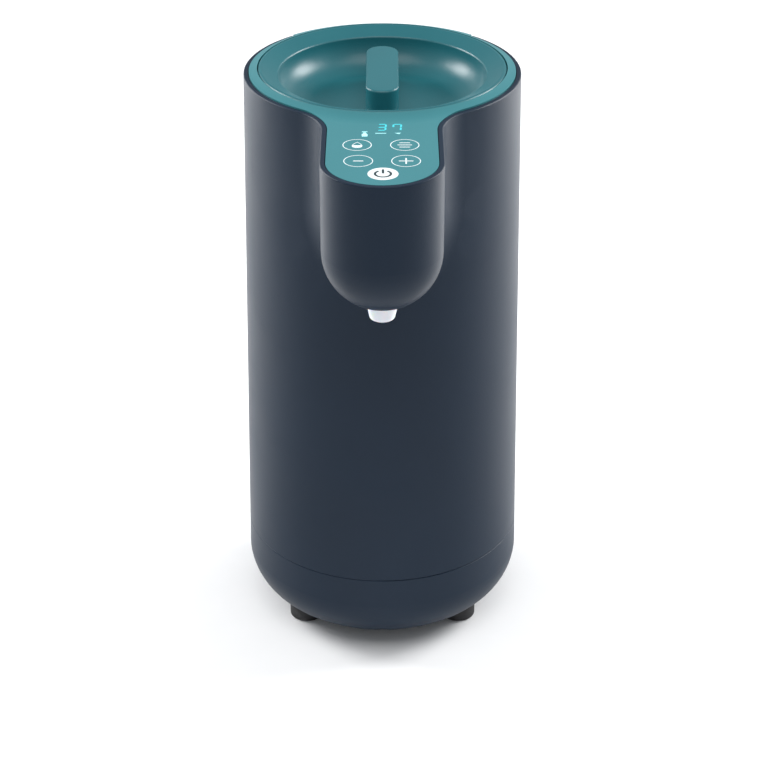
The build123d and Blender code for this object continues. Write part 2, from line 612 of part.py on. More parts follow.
def lid_grip():
    """Upright bar across the bowl, hollow, with two screw posts."""
    top = RIM_HEIGHT + GRIP_RISE
    bar = stadium(GRIP_LENGTH, GRIP_WIDTH, BOWL_FLOOR, top)
    bar = bar.fillet(GRIP_ROUNDING, [e for e in bar.edges() if abs((e @ 0.5).Z - top) < 1e-6])
    inner = 2 * GRIP_WALL
    bar -= stadium(GRIP_LENGTH - inner, GRIP_WIDTH - inner, BOWL_FLOOR - 1, top - GRIP_WALL)
    for y in grip_screw_ys():
        bar += cyl(0, y, BOWL_FLOOR, top - GRIP_WALL, GRIP_POST_RADIUS)
        bar -= cyl(0, y, BOWL_FLOOR - 1, BOWL_FLOOR + GRIP_SCREW_LENGTH - 2, SCREW_RADIUS)
    return bar


def lid_underplate():
    """Food-grade plate that closes the lid's underside and holds the seal."""
    low = BOWL_UNDERSIDE - UNDERPLATE_THICKNESS
    plate = cyl(0, 0, low, BOWL_UNDERSIDE, UNDERPLATE_RADIUS)
    plate = plate.fillet(0.4, circle_edges(plate, UNDERPLATE_RADIUS, low))
    middle = low + UNDERPLATE_THICKNESS / 2
    half = SEAL_THICKNESS / 2
    plate -= tube(0, 0, middle - half, middle + half, UNDERPLATE_RADIUS + 1,
                  UNDERPLATE_RADIUS - SEAL_SEAT)
    for y in grip_screw_ys():
        plate -= cyl(0, y, low - 1, BOWL_UNDERSIDE + 1, SCREW_RADIUS + FIT)
    return plate


def lid_seal():
    low = BOWL_UNDERSIDE - UNDERPLATE_THICKNESS / 2 - SEAL_THICKNESS / 2
    outer = TANK_RADIUS - FIT
    return tube(0, 0, low, low + SEAL_THICKNESS, outer, UNDERPLATE_RADIUS - SEAL_SEAT)


def lid_screws():
    head = BOWL_UNDERSIDE - UNDERPLATE_THICKNESS
    return group([screw(0, y, head, GRIP_SCREW_LENGTH) for y in grip_screw_ys()])


# ---- tank ----
def water_tank():
    """Drawn steel cup that hangs by its flange."""
    outer = TANK_RADIUS + TANK_WALL
    cup = cyl(0, 0, TANK_UNDERSIDE, FLANGE_TOP, outer)
    cup = cup.fillet(TANK_CORNER + TANK_WALL, circle_edges(cup, outer, TANK_UNDERSIDE))
    hollow = cyl(0, 0, TANK_FLOOR, FLANGE_TOP + 5, TANK_RADIUS)
    hollow = hollow.fillet(TANK_CORNER, circle_edges(hollow, TANK_RADIUS, TANK_FLOOR))
    flange = cyl(0, 0, FLANGE_BOTTOM, FLANGE_TOP, FLANGE_RADIUS)
    for x, y in around(4, EAR_CIRCLE, 45):
        flange += cyl(x, y, FLANGE_BOTTOM, FLANGE_TOP, EAR_RADIUS)
        flange += outward(x * FLANGE_RADIUS / EAR_CIRCLE, y * FLANGE_RADIUS / EAR_CIRCLE,
                          EAR_CIRCLE - FLANGE_RADIUS, EAR_RADIUS, FLANGE_BOTTOM, FLANGE_TOP)
    tank = cup + flange - hollow
    for x, y in around(4, EAR_CIRCLE, 45):
        tank -= cyl(x, y, FLANGE_BOTTOM - 1, FLANGE_TOP + 1, SCREW_RADIUS + FIT)
    tank -= cyl(0, 0, TANK_UNDERSIDE - 1, TANK_FLOOR + 1, OUTLET_STEM + SEAT_FIT)
    tank -= cyl(0, STUD_CIRCLE, TANK_UNDERSIDE - 1, TANK_FLOOR + 1, SENSOR_RADIUS + SEAT_FIT)
    for side in (-1, 1):
        tank += cyl(side * STUD_CIRCLE, 0, HEATER_UNDERSIDE - STUD_LENGTH, TANK_UNDERSIDE, STUD_RADIUS)
    return tank


def tank_gasket():
    outer = SHELF_INNER_RADIUS - GASKET_MARGIN
    return tube(0, 0, FLANGE_TOP, SHELF_BOTTOM, outer, TANK_RADIUS + GASKET_MARGIN)


def tank_sleeve():
    """Insulating foam round the tank."""
    inner = TANK_RADIUS + TANK_WALL + SEAT_FIT
    low, high = TANK_UNDERSIDE + SLEEVE_MARGIN, FLANGE_BOTTOM - SLEEVE_MARGIN
    return tube(0, 0, low, high, inner + SLEEVE_THICKNESS, inner)


def tank_outlet():
    """Drain in the middle of the tank's floor, with a barb for the pump's hose."""
    seal_top = TANK_FLOOR + OUTLET_SEAL
    fitting = cyl(0, 0, seal_top, seal_top + 1.8, OUTLET_FLANGE)
    shoulder = HEATER_UNDERSIDE - BARB_START
    low = shoulder - BARB_LENGTH - 1
    fitting += cyl(0, 0, shoulder, seal_top, OUTLET_STEM)
    fitting += cyl(0, 0, low, shoulder, INLET_BARB_RADIUS)
    bore = INLET_BARB_RADIUS * BARB_BORE_SHARE
    return fitting - cyl(0, 0, low - 1, seal_top + 3, bore)


def outlet_seal():
    return tube(0, 0, TANK_FLOOR, TANK_FLOOR + OUTLET_SEAL, OUTLET_FLANGE - 0.5, OUTLET_STEM)


def outlet_nut():
    low = TANK_UNDERSIDE - OUTLET_NUT_HEIGHT
    nut = hexagon(0, 0, low, TANK_UNDERSIDE, OUTLET_NUT)
    return nut - cyl(0, 0, low - 1, TANK_UNDERSIDE + 1, OUTLET_STEM)


# ---- heater ----
def element_ring(extra):
    """Ring of the heating tube, open towards -X, half sunk in the plate."""
    profile = Pos(ELEMENT_CIRCLE, HEATER_UNDERSIDE) * Circle(ELEMENT_RADIUS + extra)
    loop = revolve(Plane.XZ * profile, Axis.Z, ELEMENT_SWEEP)
    return Rot(0, 0, 180 + (360 - ELEMENT_SWEEP) / 2) * loop


def heater_plate():
    plate = cyl(0, 0, HEATER_UNDERSIDE, TANK_UNDERSIDE, HEATER_RADIUS)
    plate = plate.fillet(0.8, circle_edges(plate, HEATER_RADIUS, HEATER_UNDERSIDE))
    plate -= cyl(0, 0, HEATER_UNDERSIDE - 1, TANK_UNDERSIDE + 1, HEATER_HOLE_RADIUS)
    groove = revolve(Plane.XZ * (Pos(ELEMENT_CIRCLE, HEATER_UNDERSIDE) * Circle(ELEMENT_RADIUS)), Axis.Z)
    plate -= groove
    for side in (-1, 1):
        plate -= cyl(side * STUD_CIRCLE, 0, HEATER_UNDERSIDE - 1, TANK_UNDERSIDE + 1,
                     STUD_RADIUS + FIT)
    plate -= cyl(0, STUD_CIRCLE, HEATER_UNDERSIDE - 1, TANK_UNDERSIDE + 1, SENSOR_RADIUS + FIT)
    return plate


def terminal_places():
    half = radians((360 - ELEMENT_SWEEP) / 2)
    places = []
    for side in (-1, 1):
        angle = pi + side * half
        places.append((ELEMENT_CIRCLE * cos(angle), ELEMENT_CIRCLE * sin(angle)))
    return places


def heating_element():
    element = element_ring(0)
    low = HEATER_UNDERSIDE - ELEMENT_TERMINAL
    for x, y in terminal_places():
        element += Pos(x, y, HEATER_UNDERSIDE) * Sphere(ELEMENT_RADIUS)
        element += cyl(x, y, low, HEATER_UNDERSIDE, TERMINAL_RADIUS)
    return element


def heater_nuts():
    nuts = []
    for side in (-1, 1):
        x = side * STUD_CIRCLE
        low = HEATER_UNDERSIDE - STUD_NUT_HEIGHT
        nut = hexagon(x, 0, low, HEATER_UNDERSIDE, STUD_NUT)
        nuts.append(nut - cyl(x, 0, low - 1, HEATER_UNDERSIDE + 1, STUD_RADIUS))
    return group(nuts)


def temperature_sensor():
    """Steel probe through the tank's floor with its flange inside the tank."""
    probe = cyl(0, STUD_CIRCLE, HEATER_UNDERSIDE - 6, TANK_FLOOR, SENSOR_RADIUS)
    probe += cyl(0, STUD_CIRCLE, TANK_FLOOR, TANK_FLOOR + 1, SENSOR_RADIUS + 2)
    top = TANK_FLOOR + SENSOR_LENGTH
    tip = cyl(0, STUD_CIRCLE, TANK_FLOOR, top, SENSOR_RADIUS - 0.8)
    return probe + tip.fillet(1.5, circle_edges(tip, SENSOR_RADIUS - 0.8, top))


def thermal_cutout():
    """Disc thermostat under the heater plate."""
    y = -STUD_CIRCLE
    low = HEATER_UNDERSIDE - CUTOUT_HEIGHT
    body = cyl(0, y, low, HEATER_UNDERSIDE - 0.8, CUTOUT_RADIUS)
    body += cyl(0, y, HEATER_UNDERSIDE - 0.8, HEATER_UNDERSIDE, CUTOUT_RADIUS - 1.5)
    for side in (-1, 1):
        x = side * 3.5
        body += block(x - 0.4, x + 0.4, y - 3, y + 3, low - 8, low)
    return body


# ---- chassis and pump ----
def pump_ear_places():
    return around(4, PUMP_RADIUS + PUMP_EAR_OFFSET, 45)


def chassis_plate():
    """Round plate on the base's posts, with the pump on it and a notch for the outlet hose."""
    plate = cyl(0, 0, CHASSIS_BOTTOM, CHASSIS_TOP, CHASSIS_RADIUS)
    for x, y in CHASSIS_POSTS:
        plate -= cyl(x, y, CHASSIS_BOTTOM - 1, CHASSIS_TOP + 1, SCREW_RADIUS + FIT)
    plate -= cyl(0, 0, CHASSIS_BOTTOM - 1, CHASSIS_TOP + 1, BUSH_RADIUS + FIT)
    for x, y in around(2, MOTOR_SCREW_CIRCLE):
        plate -= cyl(x, y, CHASSIS_BOTTOM - 1, CHASSIS_TOP + 1, SCREW_RADIUS + FIT)
        plate -= cyl(x, y, CHASSIS_TOP - SCREW_HEAD_HEIGHT, CHASSIS_TOP + 1, SCREW_HEAD_RADIUS + FIT)
    for x, y in pump_ear_places():
        plate -= cyl(x, y, CHASSIS_BOTTOM - 1, CHASSIS_TOP + 1, SCREW_RADIUS)
    for x in upright_xs():
        back = POWER_BOARD_PLACE + BOARD_THICKNESS
        plate += block(x - 5, x + 5, back, back + 2.5, CHASSIS_TOP - 1, CHASSIS_TOP + 40)
        for z in upright_screw_zs():
            plate -= Pos(x, back, z) * Rot(90, 0, 0) * Cylinder(SCREW_RADIUS, 12)
    return plate


def upright_xs():
    inset = 8.0
    return (-POWER_BOARD_WIDTH / 2 + inset, POWER_BOARD_WIDTH / 2 - inset)


def upright_screw_zs():
    return (CHASSIS_TOP + 10.0, CHASSIS_TOP + 34.0)


def chassis_screws():
    return group([screw(x, y, CHASSIS_TOP, 14, up=False) for x, y in CHASSIS_POSTS])


def pump_outlet_place():
    """Axis of the pump's outlet, as (x, z)."""
    return PUMP_RADIUS - PUMP_WALL - OUTLET_BARB_RADIUS - 1.5, CHASSIS_TOP + PUMP_HEIGHT / 2 + 0.5


def pump_housing():
    """Round cup with an outlet spigot that leaves it along one side towards the front."""
    x, z = pump_outlet_place()
    front = -PUMP_RADIUS - PUMP_SPIGOT
    cup = cyl(0, 0, CHASSIS_TOP, PUMP_TOP, PUMP_RADIUS)
    cup += Pos(x, -PUMP_RADIUS / 2, z) * Rot(90, 0, 0) * Cylinder(OUTLET_BARB_RADIUS + 1, PUMP_RADIUS)
    middle = (front - PUMP_RADIUS) / 2
    cup += Pos(x, middle, z) * Rot(90, 0, 0) * Cylinder(OUTLET_BARB_RADIUS, PUMP_SPIGOT)
    for ex, ey in pump_ear_places():
        cup += cyl(ex, ey, CHASSIS_TOP, PUMP_TOP, PUMP_EAR_RADIUS)
    cup -= cyl(0, 0, CHASSIS_TOP + PUMP_WALL, PUMP_TOP + 1, PUMP_RADIUS - PUMP_WALL)
    bore = OUTLET_BARB_RADIUS * BARB_BORE_SHARE
    cup -= Pos(x, front / 2, z) * Rot(90, 0, 0) * Cylinder(bore, -front + 1)
    cup -= cyl(0, 0, CHASSIS_TOP - 1, CHASSIS_TOP + PUMP_WALL + 1, SHAFT_RADIUS + SLIDE_FIT)
    for sx, sy in around(2, MOTOR_SCREW_CIRCLE):
        cup -= cyl(sx, sy, CHASSIS_TOP - 1, CHASSIS_TOP + 0.4, SCREW_HEAD_RADIUS)
    for ex, ey in pump_ear_places():
        cup -= cyl(ex, ey, CHASSIS_TOP - 1, PUMP_TOP + 1, SCREW_RADIUS + FIT)
    return cup


def pump_cover():
    """Lid of the pump with the inlet barb in the middle."""
    cover = cyl(0, 0, PUMP_TOP, COVER_TOP, PUMP_RADIUS)
    for x, y in pump_ear_places():
        cover += cyl(x, y, PUMP_TOP, COVER_TOP, PUMP_EAR_RADIUS)
    shoulder = COVER_TOP + BARB_START
    barb_top = shoulder + BARB_LENGTH
    cover += cyl(0, 0, COVER_TOP, shoulder, INLET_BARB_RADIUS + 2)
    cover += cyl(0, 0, shoulder, barb_top, INLET_BARB_RADIUS)
    cover -= cyl(0, 0, PUMP_TOP - 1, barb_top + 1, INLET_BARB_RADIUS * BARB_BORE_SHARE)
    seal_radius = PUMP_RADIUS - PUMP_WALL / 2
    cover -= tube(0, 0, PUMP_TOP - 1, PUMP_TOP + PUMP_SEAL, seal_radius + 0.5, seal_radius - 0.5)
    for x, y in pump_ear_places():
        cover -= cyl(x, y, PUMP_TOP - 1, COVER_TOP + 1, SCREW_RADIUS + FIT)
    return cover


def pump_seal():
    radius = PUMP_RADIUS - PUMP_WALL / 2
    return tube(0, 0, PUMP_TOP, PUMP_TOP + PUMP_SEAL, radius + 0.5, radius - 0.5)


def pump_screws():
    length = COVER_TOP - CHASSIS_BOTTOM
    return group([screw(x, y, COVER_TOP, length, up=False) for x, y in pump_ear_places()])


def impeller():
    """Open impeller: a disc, a hub and curved vanes."""
    low = CHASSIS_TOP + PUMP_WALL + 0.8
    high = PUMP_TOP - 1.5
    wheel = cyl(0, 0, low, low + 1.2, IMPELLER_RADIUS) + cyl(0, 0, low, high - 1, 4.2)
    for i in range(VANES):
        outer = tube(9.0, 0, low + 1, high, 7.0, 5.8)
        vane = outer & block(-1, 14.5, 0.2, 8, low, high)
        vane = vane & cyl(0, 0, low, high, IMPELLER_RADIUS - 0.4)
        wheel += Rot(0, 0, 360 / VANES * i) * vane
    return wheel - cyl(0, 0, low - 1, high - 3, SHAFT_RADIUS)


def motor_shaft():
    return cyl(0, 0, MOTOR_BOTTOM + 1.5, PUMP_TOP - 4.5, SHAFT_RADIUS)


def motor_rotor():
    low, high = MOTOR_BOTTOM + 8, CHASSIS_BOTTOM - 6
    rotor = cyl(0, 0, low, high, ROTOR_RADIUS)
    for i in range(ROTOR_POLES):
        slot = block(3.5, ROTOR_RADIUS + 1, -0.9, 0.9, low - 1, high + 1)
        rotor -= Rot(0, 0, 360 / ROTOR_POLES * i) * slot
    return rotor - cyl(0, 0, low - 1, high + 1, SHAFT_RADIUS)


def motor_can():
    """Steel can under the chassis plate, closed at the top."""
    can = cyl(0, 0, MOTOR_BOTTOM, CHASSIS_BOTTOM, MOTOR_RADIUS)
    can -= cyl(0, 0, MOTOR_BOTTOM - 1, CHASSIS_BOTTOM - 2, MOTOR_RADIUS - MOTOR_WALL)
    can -= cyl(0, 0, MOTOR_BOTTOM, CHASSIS_BOTTOM + 1, BUSH_RADIUS)
    for x, y in around(2, MOTOR_SCREW_CIRCLE):
        can -= cyl(x, y, CHASSIS_BOTTOM - 3, CHASSIS_BOTTOM + 1, SCREW_RADIUS)
    return can


def motor_end_cap():
    inner = MOTOR_RADIUS - MOTOR_WALL
    cap = cyl(0, 0, MOTOR_BOTTOM, MOTOR_BOTTOM + 3, inner)
    cap -= cyl(0, 0, MOTOR_BOTTOM + 1, MOTOR_BOTTOM + 4, BUSH_RADIUS)
    return cap


def motor_magnets():
    inner = ROTOR_RADIUS + 0.6
    outer = MOTOR_RADIUS - MOTOR_WALL
    low, high = MOTOR_BOTTOM + 6, CHASSIS_BOTTOM - 4
    ring = tube(0, 0, low, high, outer, inner)
    arcs = []
    for centre in (0, 180):
        arcs.append(ring & sector(outer, 65, centre, low, high))
    return group(arcs)


def shaft_bushes():
    """Bronze bushes at both ends of the motor."""
    bore = SHAFT_RADIUS + SLIDE_FIT / 2
    lower = tube(0, 0, MOTOR_BOTTOM + 1, MOTOR_BOTTOM + 4, BUSH_RADIUS, bore)
    upper = tube(0, 0, CHASSIS_BOTTOM - 3, CHASSIS_BOTTOM + 1, BUSH_RADIUS, bore)
    return group([lower, upper])


def motor_screws():
    heads = CHASSIS_TOP - SCREW_HEAD_HEIGHT
    return [screw(x, y, heads, 3, up=False) for x, y in around(2, MOTOR_SCREW_CIRCLE)]


# ---- hoses ----
def pipe(path, outer, inner):
    """Round tube along a path of straight runs and arcs."""
    start = Plane(origin=path @ 0, z_dir=path % 0)
    outside = sweep(start * Circle(outer), path=path)
    inside = sweep(start * Circle(inner), path=path)
    return outside - inside


def inlet_hose():
    """Straight hose from the tank's outlet down to the pump."""
    low = COVER_TOP + BARB_START + 0.5
    high = HEATER_UNDERSIDE - BARB_START - 0.5
    return tube(0, 0, low, high, INLET_HOSE_RADIUS, INLET_BARB_RADIUS)


def outlet_hose_path():
    x, z = pump_outlet_place()
    start = -PUMP_RADIUS - 2
    wall = TANK_RADIUS + TANK_WALL + SEAT_FIT + SLEEVE_THICKNESS + OUTLET_HOSE_RADIUS + 0.8
    front = -sqrt(wall ** 2 - x ** 2)
    spout = HOLDER_PORT
    points = [(x, start, z), (x, front, z), (x, front, spout),
              (0, front - 20, spout), (0, -ARM_REACH + 12, spout)]
    return FilletPolyline(*points, radius=[HOSE_BEND, HOSE_BEND, HOSE_ARM_BEND])


def outlet_hose():
    """Hose from the pump up the front of the tank and along the arm to the nozzle."""
    return pipe(outlet_hose_path(), OUTLET_HOSE_RADIUS, OUTLET_BARB_RADIUS)


def hose_clips():
    """Spring rings over the hose ends."""
    clips = []
    for z in (COVER_TOP + 9, HEATER_UNDERSIDE - 10):
        clips.append(tube(0, 0, z - 2, z + 2, INLET_HOSE_RADIUS + CLIP_WALL, INLET_HOSE_RADIUS))
    path = outlet_hose_path()
    for share_from_end in (0, 1):
        end = path @ share_from_end
        direction = path % share_from_end
        inward = 5 if share_from_end == 0 else -5
        place = Plane(origin=end + direction * inward, z_dir=direction)
        ring = Cylinder(OUTLET_HOSE_RADIUS + CLIP_WALL, 3) - Cylinder(OUTLET_HOSE_RADIUS, 4)
        clips.append(place * ring)
    return group(clips)


# ---- nozzle ----
def nozzle_holder():
    """Socket for the nozzle with a port for the hose, screwed to the floor of the arm."""
    y = -ARM_REACH
    low = ARM_BOTTOM + CASING_WALL + 1.5
    top = HOLDER_PORT + 5
    socket = cyl(0, y, low, top, SOCKET_RADIUS)
    socket += block(-HOLDER_SCREW_X, HOLDER_SCREW_X, y - 4, y + 4, HOLDER_BASE, HOLDER_BASE + HOLDER_PLATE)
    for side in (-1, 1):
        socket += cyl(side * HOLDER_SCREW_X, y, HOLDER_BASE, HOLDER_BASE + HOLDER_PLATE, 4.0)
    barb = Pos(0, y + 11.5, HOLDER_PORT) * Rot(90, 0, 0) * Cylinder(OUTLET_BARB_RADIUS, 19)
    socket += barb
    socket -= cyl(0, y, low - 1, low + STEM_LENGTH + 1, STEM_RADIUS + SLIDE_FIT)
    socket -= cyl(0, y, low, HOLDER_PORT, NOZZLE_BORE_RADIUS)
    port = OUTLET_BARB_RADIUS * BARB_BORE_SHARE
    socket -= Pos(0, y + 12, HOLDER_PORT) * Rot(90, 0, 0) * Cylinder(port, 24)
    for side in (-1, 1):
        socket -= cyl(side * HOLDER_SCREW_X, y, HOLDER_BASE - 1, HOLDER_BASE + 4, SCREW_RADIUS + FIT)
    return socket


def holder_screws():
    head = HOLDER_BASE + HOLDER_PLATE
    return [screw(side * HOLDER_SCREW_X, -ARM_REACH, head, 6, up=False) for side in (-1, 1)]


def nozzle():
    """Tapered spout tip with a stem that pushes into the holder."""
    y = -ARM_REACH
    tip = ARM_BOTTOM - NOZZLE_DROP
    flare = ARM_BOTTOM + 0.6
    collar = ARM_BOTTOM + CASING_WALL
    stem_top = collar + STEM_LENGTH
    cone = turned([(0, tip), (NOZZLE_TIP_RADIUS, tip), (NOZZLE_TOP_RADIUS, flare), (0, flare)])
    cone = cone.fillet(1.2, circle_edges(cone, NOZZLE_TIP_RADIUS, tip))
    body = Pos(0, y, 0) * cone + cyl(0, y, flare, collar, NOZZLE_TOP_RADIUS)
    body += cyl(0, y, collar, stem_top, STEM_RADIUS)
    body -= cyl(0, y, tip - 1, stem_top + 1, NOZZLE_BORE_RADIUS)
    depth = 2 * RING_SECTION - SLIDE_FIT / 2
    body -= tube(0, y, RING_HEIGHT - RING_SECTION, RING_HEIGHT + RING_SECTION,
                 STEM_RADIUS + 1, STEM_RADIUS - depth)
    return body


def nozzle_o_ring():
    circle = STEM_RADIUS + SLIDE_FIT / 2 - RING_SECTION
    return Pos(0, -ARM_REACH, RING_HEIGHT) * Torus(circle, RING_SECTION)


# ---- electronics ----
def board_screw_places():
    half = CONTROL_BOARD_WIDTH / 2 - BOARD_SCREW_INSET
    rear = -CONTROL_BOARD_START - BOARD_SCREW_INSET
    front = KEY_GAP - ARM_REACH
    return [(half, rear), (-half, rear), (half, front), (-half, front)]


def control_board():
    half = CONTROL_BOARD_WIDTH / 2
    board = block(-half, half, -CONTROL_BOARD_END, -CONTROL_BOARD_START, BOARD_BOTTOM, BOARD_TOP)
    board += cyl(0, -CONTROL_BOARD_END, BOARD_BOTTOM, BOARD_TOP, CONTROL_BOARD_NOSE)
    for x, y in board_screw_places():
        board -= cyl(x, y, BOARD_BOTTOM - 1, BOARD_TOP + 1, SCREW_RADIUS + FIT)
    return board


def board_screws():
    """Screws of the control board, and of the power board on its uprights."""
    screws = [screw(x, y, BOARD_BOTTOM, 5) for x, y in board_screw_places()]
    for x in upright_xs():
        for z in upright_screw_zs():
            screws.append(Pos(x, POWER_BOARD_PLACE, z) * Rot(-90, 0, 0) * screw(0, 0, 0, 5))
    return group(screws)


def touch_pads():
    """Conductive foam buttons between the board and the underside of the tongue."""
    top = RIM_HEIGHT - PANEL_PLATE
    return group([cyl(x, y, BOARD_TOP, top, KEY_RADIUS) for x, y in KEYS])


def display_module():
    half = DISPLAY_WIDTH / 2
    back = DISPLAY_PLACE + DISPLAY_LENGTH / 2
    front = DISPLAY_PLACE - DISPLAY_LENGTH / 2
    body = block(-half, half, front, back, BOARD_TOP, BOARD_TOP + DISPLAY_HEIGHT)
    for x, y in board_screw_places():
        body -= cyl(x, y, BOARD_TOP - 1, BOARD_TOP + 9, BOARD_BOSS_RADIUS + FIT)
    return body


def light_guide():
    """Clear block that carries the digits' light to the tongue."""
    half = DISPLAY_WIDTH / 2 - GUIDE_MARGIN
    low, high = BOARD_TOP + DISPLAY_HEIGHT, RIM_HEIGHT - PANEL_PLATE
    reach = GUIDE_LENGTH / 2
    return block(-half, half, DISPLAY_PLACE - reach, DISPLAY_PLACE + reach, low, high)


def buzzer():
    x, y = BUZZER_PLACE[0], BUZZER_PLACE[1] - ARM_REACH
    low = BOARD_BOTTOM - BUZZER_HEIGHT
    return cyl(x, y, low, BOARD_BOTTOM, BUZZER_RADIUS) - cyl(x, y, low - 1, low + 1, 1)


def ribbon_path():
    """Corners of the ribbon's middle line, seen from the side, as (y, z)."""
    front = -(TANK_RADIUS + TANK_WALL + SLEEVE_THICKNESS + 1.8)
    back = POWER_BOARD_PLACE - 6
    low = COVER_TOP + 10
    high = FLANGE_BOTTOM - 7
    end = RIBBON_SOCKET_BACK - ARM_REACH
    return [(back, low), (front, low), (front, high), (end, high), (end, BOARD_BOTTOM - 4)]


def ribbon_cable():
    """Flat cable from the power board under the tank, up its front and along the arm."""
    path = FilletPolyline(*[(0, y, z) for y, z in ribbon_path()], radius=[8, 4, 4])
    start = Plane(origin=path @ 0, z_dir=path % 0, x_dir=(1, 0, 0))
    ribbon = sweep(start * Rectangle(RIBBON_WIDTH, RIBBON_THICKNESS), path=path)
    return Pos(RIBBON_X, 0, 0) * ribbon


def ribbon_sockets():
    """Sockets on both boards for the ribbon's ends."""
    back = POWER_BOARD_PLACE
    low = ribbon_path()[0][1]
    end = RIBBON_SOCKET_BACK - ARM_REACH
    left, right = RIBBON_X - SOCKET_SIDE, RIBBON_X + SOCKET_SIDE
    half = SOCKET_SIDE / 2
    lower = block(left, right, back - SOCKET_SIDE, back, low - half, low + half)
    upper = block(left, right, end - half, end + half, BOARD_BOTTOM - 4, BOARD_BOTTOM)
    return group([lower, upper])


def power_board():
    half = POWER_BOARD_WIDTH / 2
    y = POWER_BOARD_PLACE
    low = POWER_BOARD_BOTTOM
    board = block(-half, half, y, y + BOARD_THICKNESS, low, low + POWER_BOARD_HEIGHT)
    for x in upright_xs():
        for z in upright_screw_zs():
            board -= Pos(x, y, z) * Rot(90, 0, 0) * Cylinder(SCREW_RADIUS + FIT, 8)
    return board


def transformer():
    y = POWER_BOARD_PLACE
    core = block(2, 20, y - 13, y, CHASSIS_TOP + 16, CHASSIS_TOP + 34)
    winding = block(5, 17, y - 16, y, CHASSIS_TOP + 19, CHASSIS_TOP + 31)
    return core + winding


def capacitors():
    y = POWER_BOARD_PLACE
    cans = []
    for x, z, radius in ((-4, CHASSIS_TOP + 44, 5), (8, CHASSIS_TOP + 44, 5), (20, CHASSIS_TOP + 45, 4)):
        can = Pos(x, y - 7, z) * Rot(90, 0, 0) * Cylinder(radius, 14)
        cans.append(can)
    return group(cans)


def relay():
    y = POWER_BOARD_PLACE
    return block(-23, -10, y - 12, y, CHASSIS_TOP + 31, CHASSIS_TOP + 43)


# ---- mains inlet ----
def inlet_block(inset, depth):
    """Body of the inlet, a rounded block that fills the window in the casing."""
    outside = body_radius(INLET_HEIGHT - INLET_TALL / 2) + 0.5
    face = RectangleRounded(INLET_WIDTH - 2 * inset, INLET_TALL - 2 * inset, 3)
    prism = extrude(face, depth)
    return Pos(0, outside, INLET_HEIGHT) * Rot(90, 0, 0) * prism


def inlet_flange_half():
    return INLET_WIDTH / 2 + INLET_FLANGE + 3


def inlet_flange_place():
    """Outer face of the flange, where its ends just clear the casing's inside."""
    inside = body_radius(INLET_HEIGHT + INLET_TALL) - CASING_WALL
    return sqrt(inside ** 2 - inlet_flange_half() ** 2) - FIT


def mains_inlet():
    """Two-pin appliance inlet: a collar in the casing's window, a flange inside and a socket."""
    collar = inlet_block(SEAT_FIT, INLET_DEPTH)
    collar = collar & body_cone(0.4, INLET_HEIGHT - INLET_TALL, INLET_HEIGHT + INLET_TALL)
    back = inlet_flange_place()
    half = inlet_flange_half()
    flange = block(-half, half, back - 2.5, back, INLET_HEIGHT - INLET_TALL / 2 - 1,
                   INLET_HEIGHT + INLET_TALL / 2 + 1)
    inlet = collar + flange
    mouth = extrude(SlotOverall(INLET_MOUTH_WIDTH, INLET_MOUTH_HEIGHT), 14)
    inlet -= Pos(0, body_radius(INLET_HEIGHT) + 1, INLET_HEIGHT) * Rot(90, 0, 0) * mouth
    for side in (-1, 1):
        x = side * (half - 4)
        inlet -= Pos(x, back, INLET_HEIGHT) * Rot(90, 0, 0) * Cylinder(SCREW_RADIUS + FIT, 12)
        pin_x = side * PIN_SPACING / 2
        inlet -= Pos(pin_x, back - 8, INLET_HEIGHT) * Rot(90, 0, 0) * Cylinder(PIN_RADIUS, 30)
    return inlet


def inlet_pins():
    pins = []
    front = body_radius(INLET_HEIGHT) - 5
    back = body_radius(INLET_HEIGHT) - INLET_DEPTH - 6
    for side in (-1, 1):
        pin = Pos(side * PIN_SPACING / 2, (front + back) / 2, INLET_HEIGHT) * Rot(90, 0, 0)
        pins.append(pin * Cylinder(PIN_RADIUS, front - back))
    return group(pins)


def inlet_boss(side):
    """Boss on the inside of the casing for a screw of the inlet's flange."""
    x = side * (INLET_WIDTH / 2 + INLET_FLANGE - 1)
    back = inlet_flange_place()
    boss = Pos(x, back + 5, INLET_HEIGHT) * Rot(90, 0, 0) * Cylinder(3.2, 10)
    boss = boss & body_cone(CASING_WALL / 2, INLET_HEIGHT - 8, INLET_HEIGHT + 8)
    return boss


def inlet_screws():
    screws = []
    back = inlet_flange_place() - 2.5
    for side in (-1, 1):
        x = side * (INLET_WIDTH / 2 + INLET_FLANGE - 1)
        screws.append(Pos(x, back, INLET_HEIGHT) * Rot(-90, 0, 0) * screw(0, 0, 0, 5))
    return screws


def lead(points, radii, radius):
    path = FilletPolyline(*points, radius=radii)
    start = Plane(origin=path @ 0, z_dir=path % 0)
    return sweep(start * Circle(radius), path=path)


def mains_leads():
    """Two leads from the inlet's pins to the power board."""
    leads = []
    back = body_radius(INLET_HEIGHT) - INLET_DEPTH - 6
    board = POWER_BOARD_PLACE + BOARD_THICKNESS
    for side in (-1, 1):
        x = side * PIN_SPACING / 2
        leads.append(lead([(x, back, INLET_HEIGHT), (x, board + 3.5, INLET_HEIGHT),
                           (x, board + 3.5, INLET_HEIGHT + 14), (x, board, INLET_HEIGHT + 14)],
                          [1.6, 1.6], LEAD_RADIUS))
    return leads


def heater_leads():
    """Two sleeved leads from the element's terminals to the power board."""
    leads = []
    low = HEATER_UNDERSIDE - ELEMENT_TERMINAL
    level = POWER_BOARD_BOTTOM + POWER_BOARD_HEIGHT - 4
    for (x, y), turn_z in zip(terminal_places(), (level, level - 8)):
        corners = [(x, y, low), (x, y, turn_z), (x, POWER_BOARD_PLACE, turn_z)]
        leads.append(lead(corners, [4], HEATER_LEAD_RADIUS))
    return leads


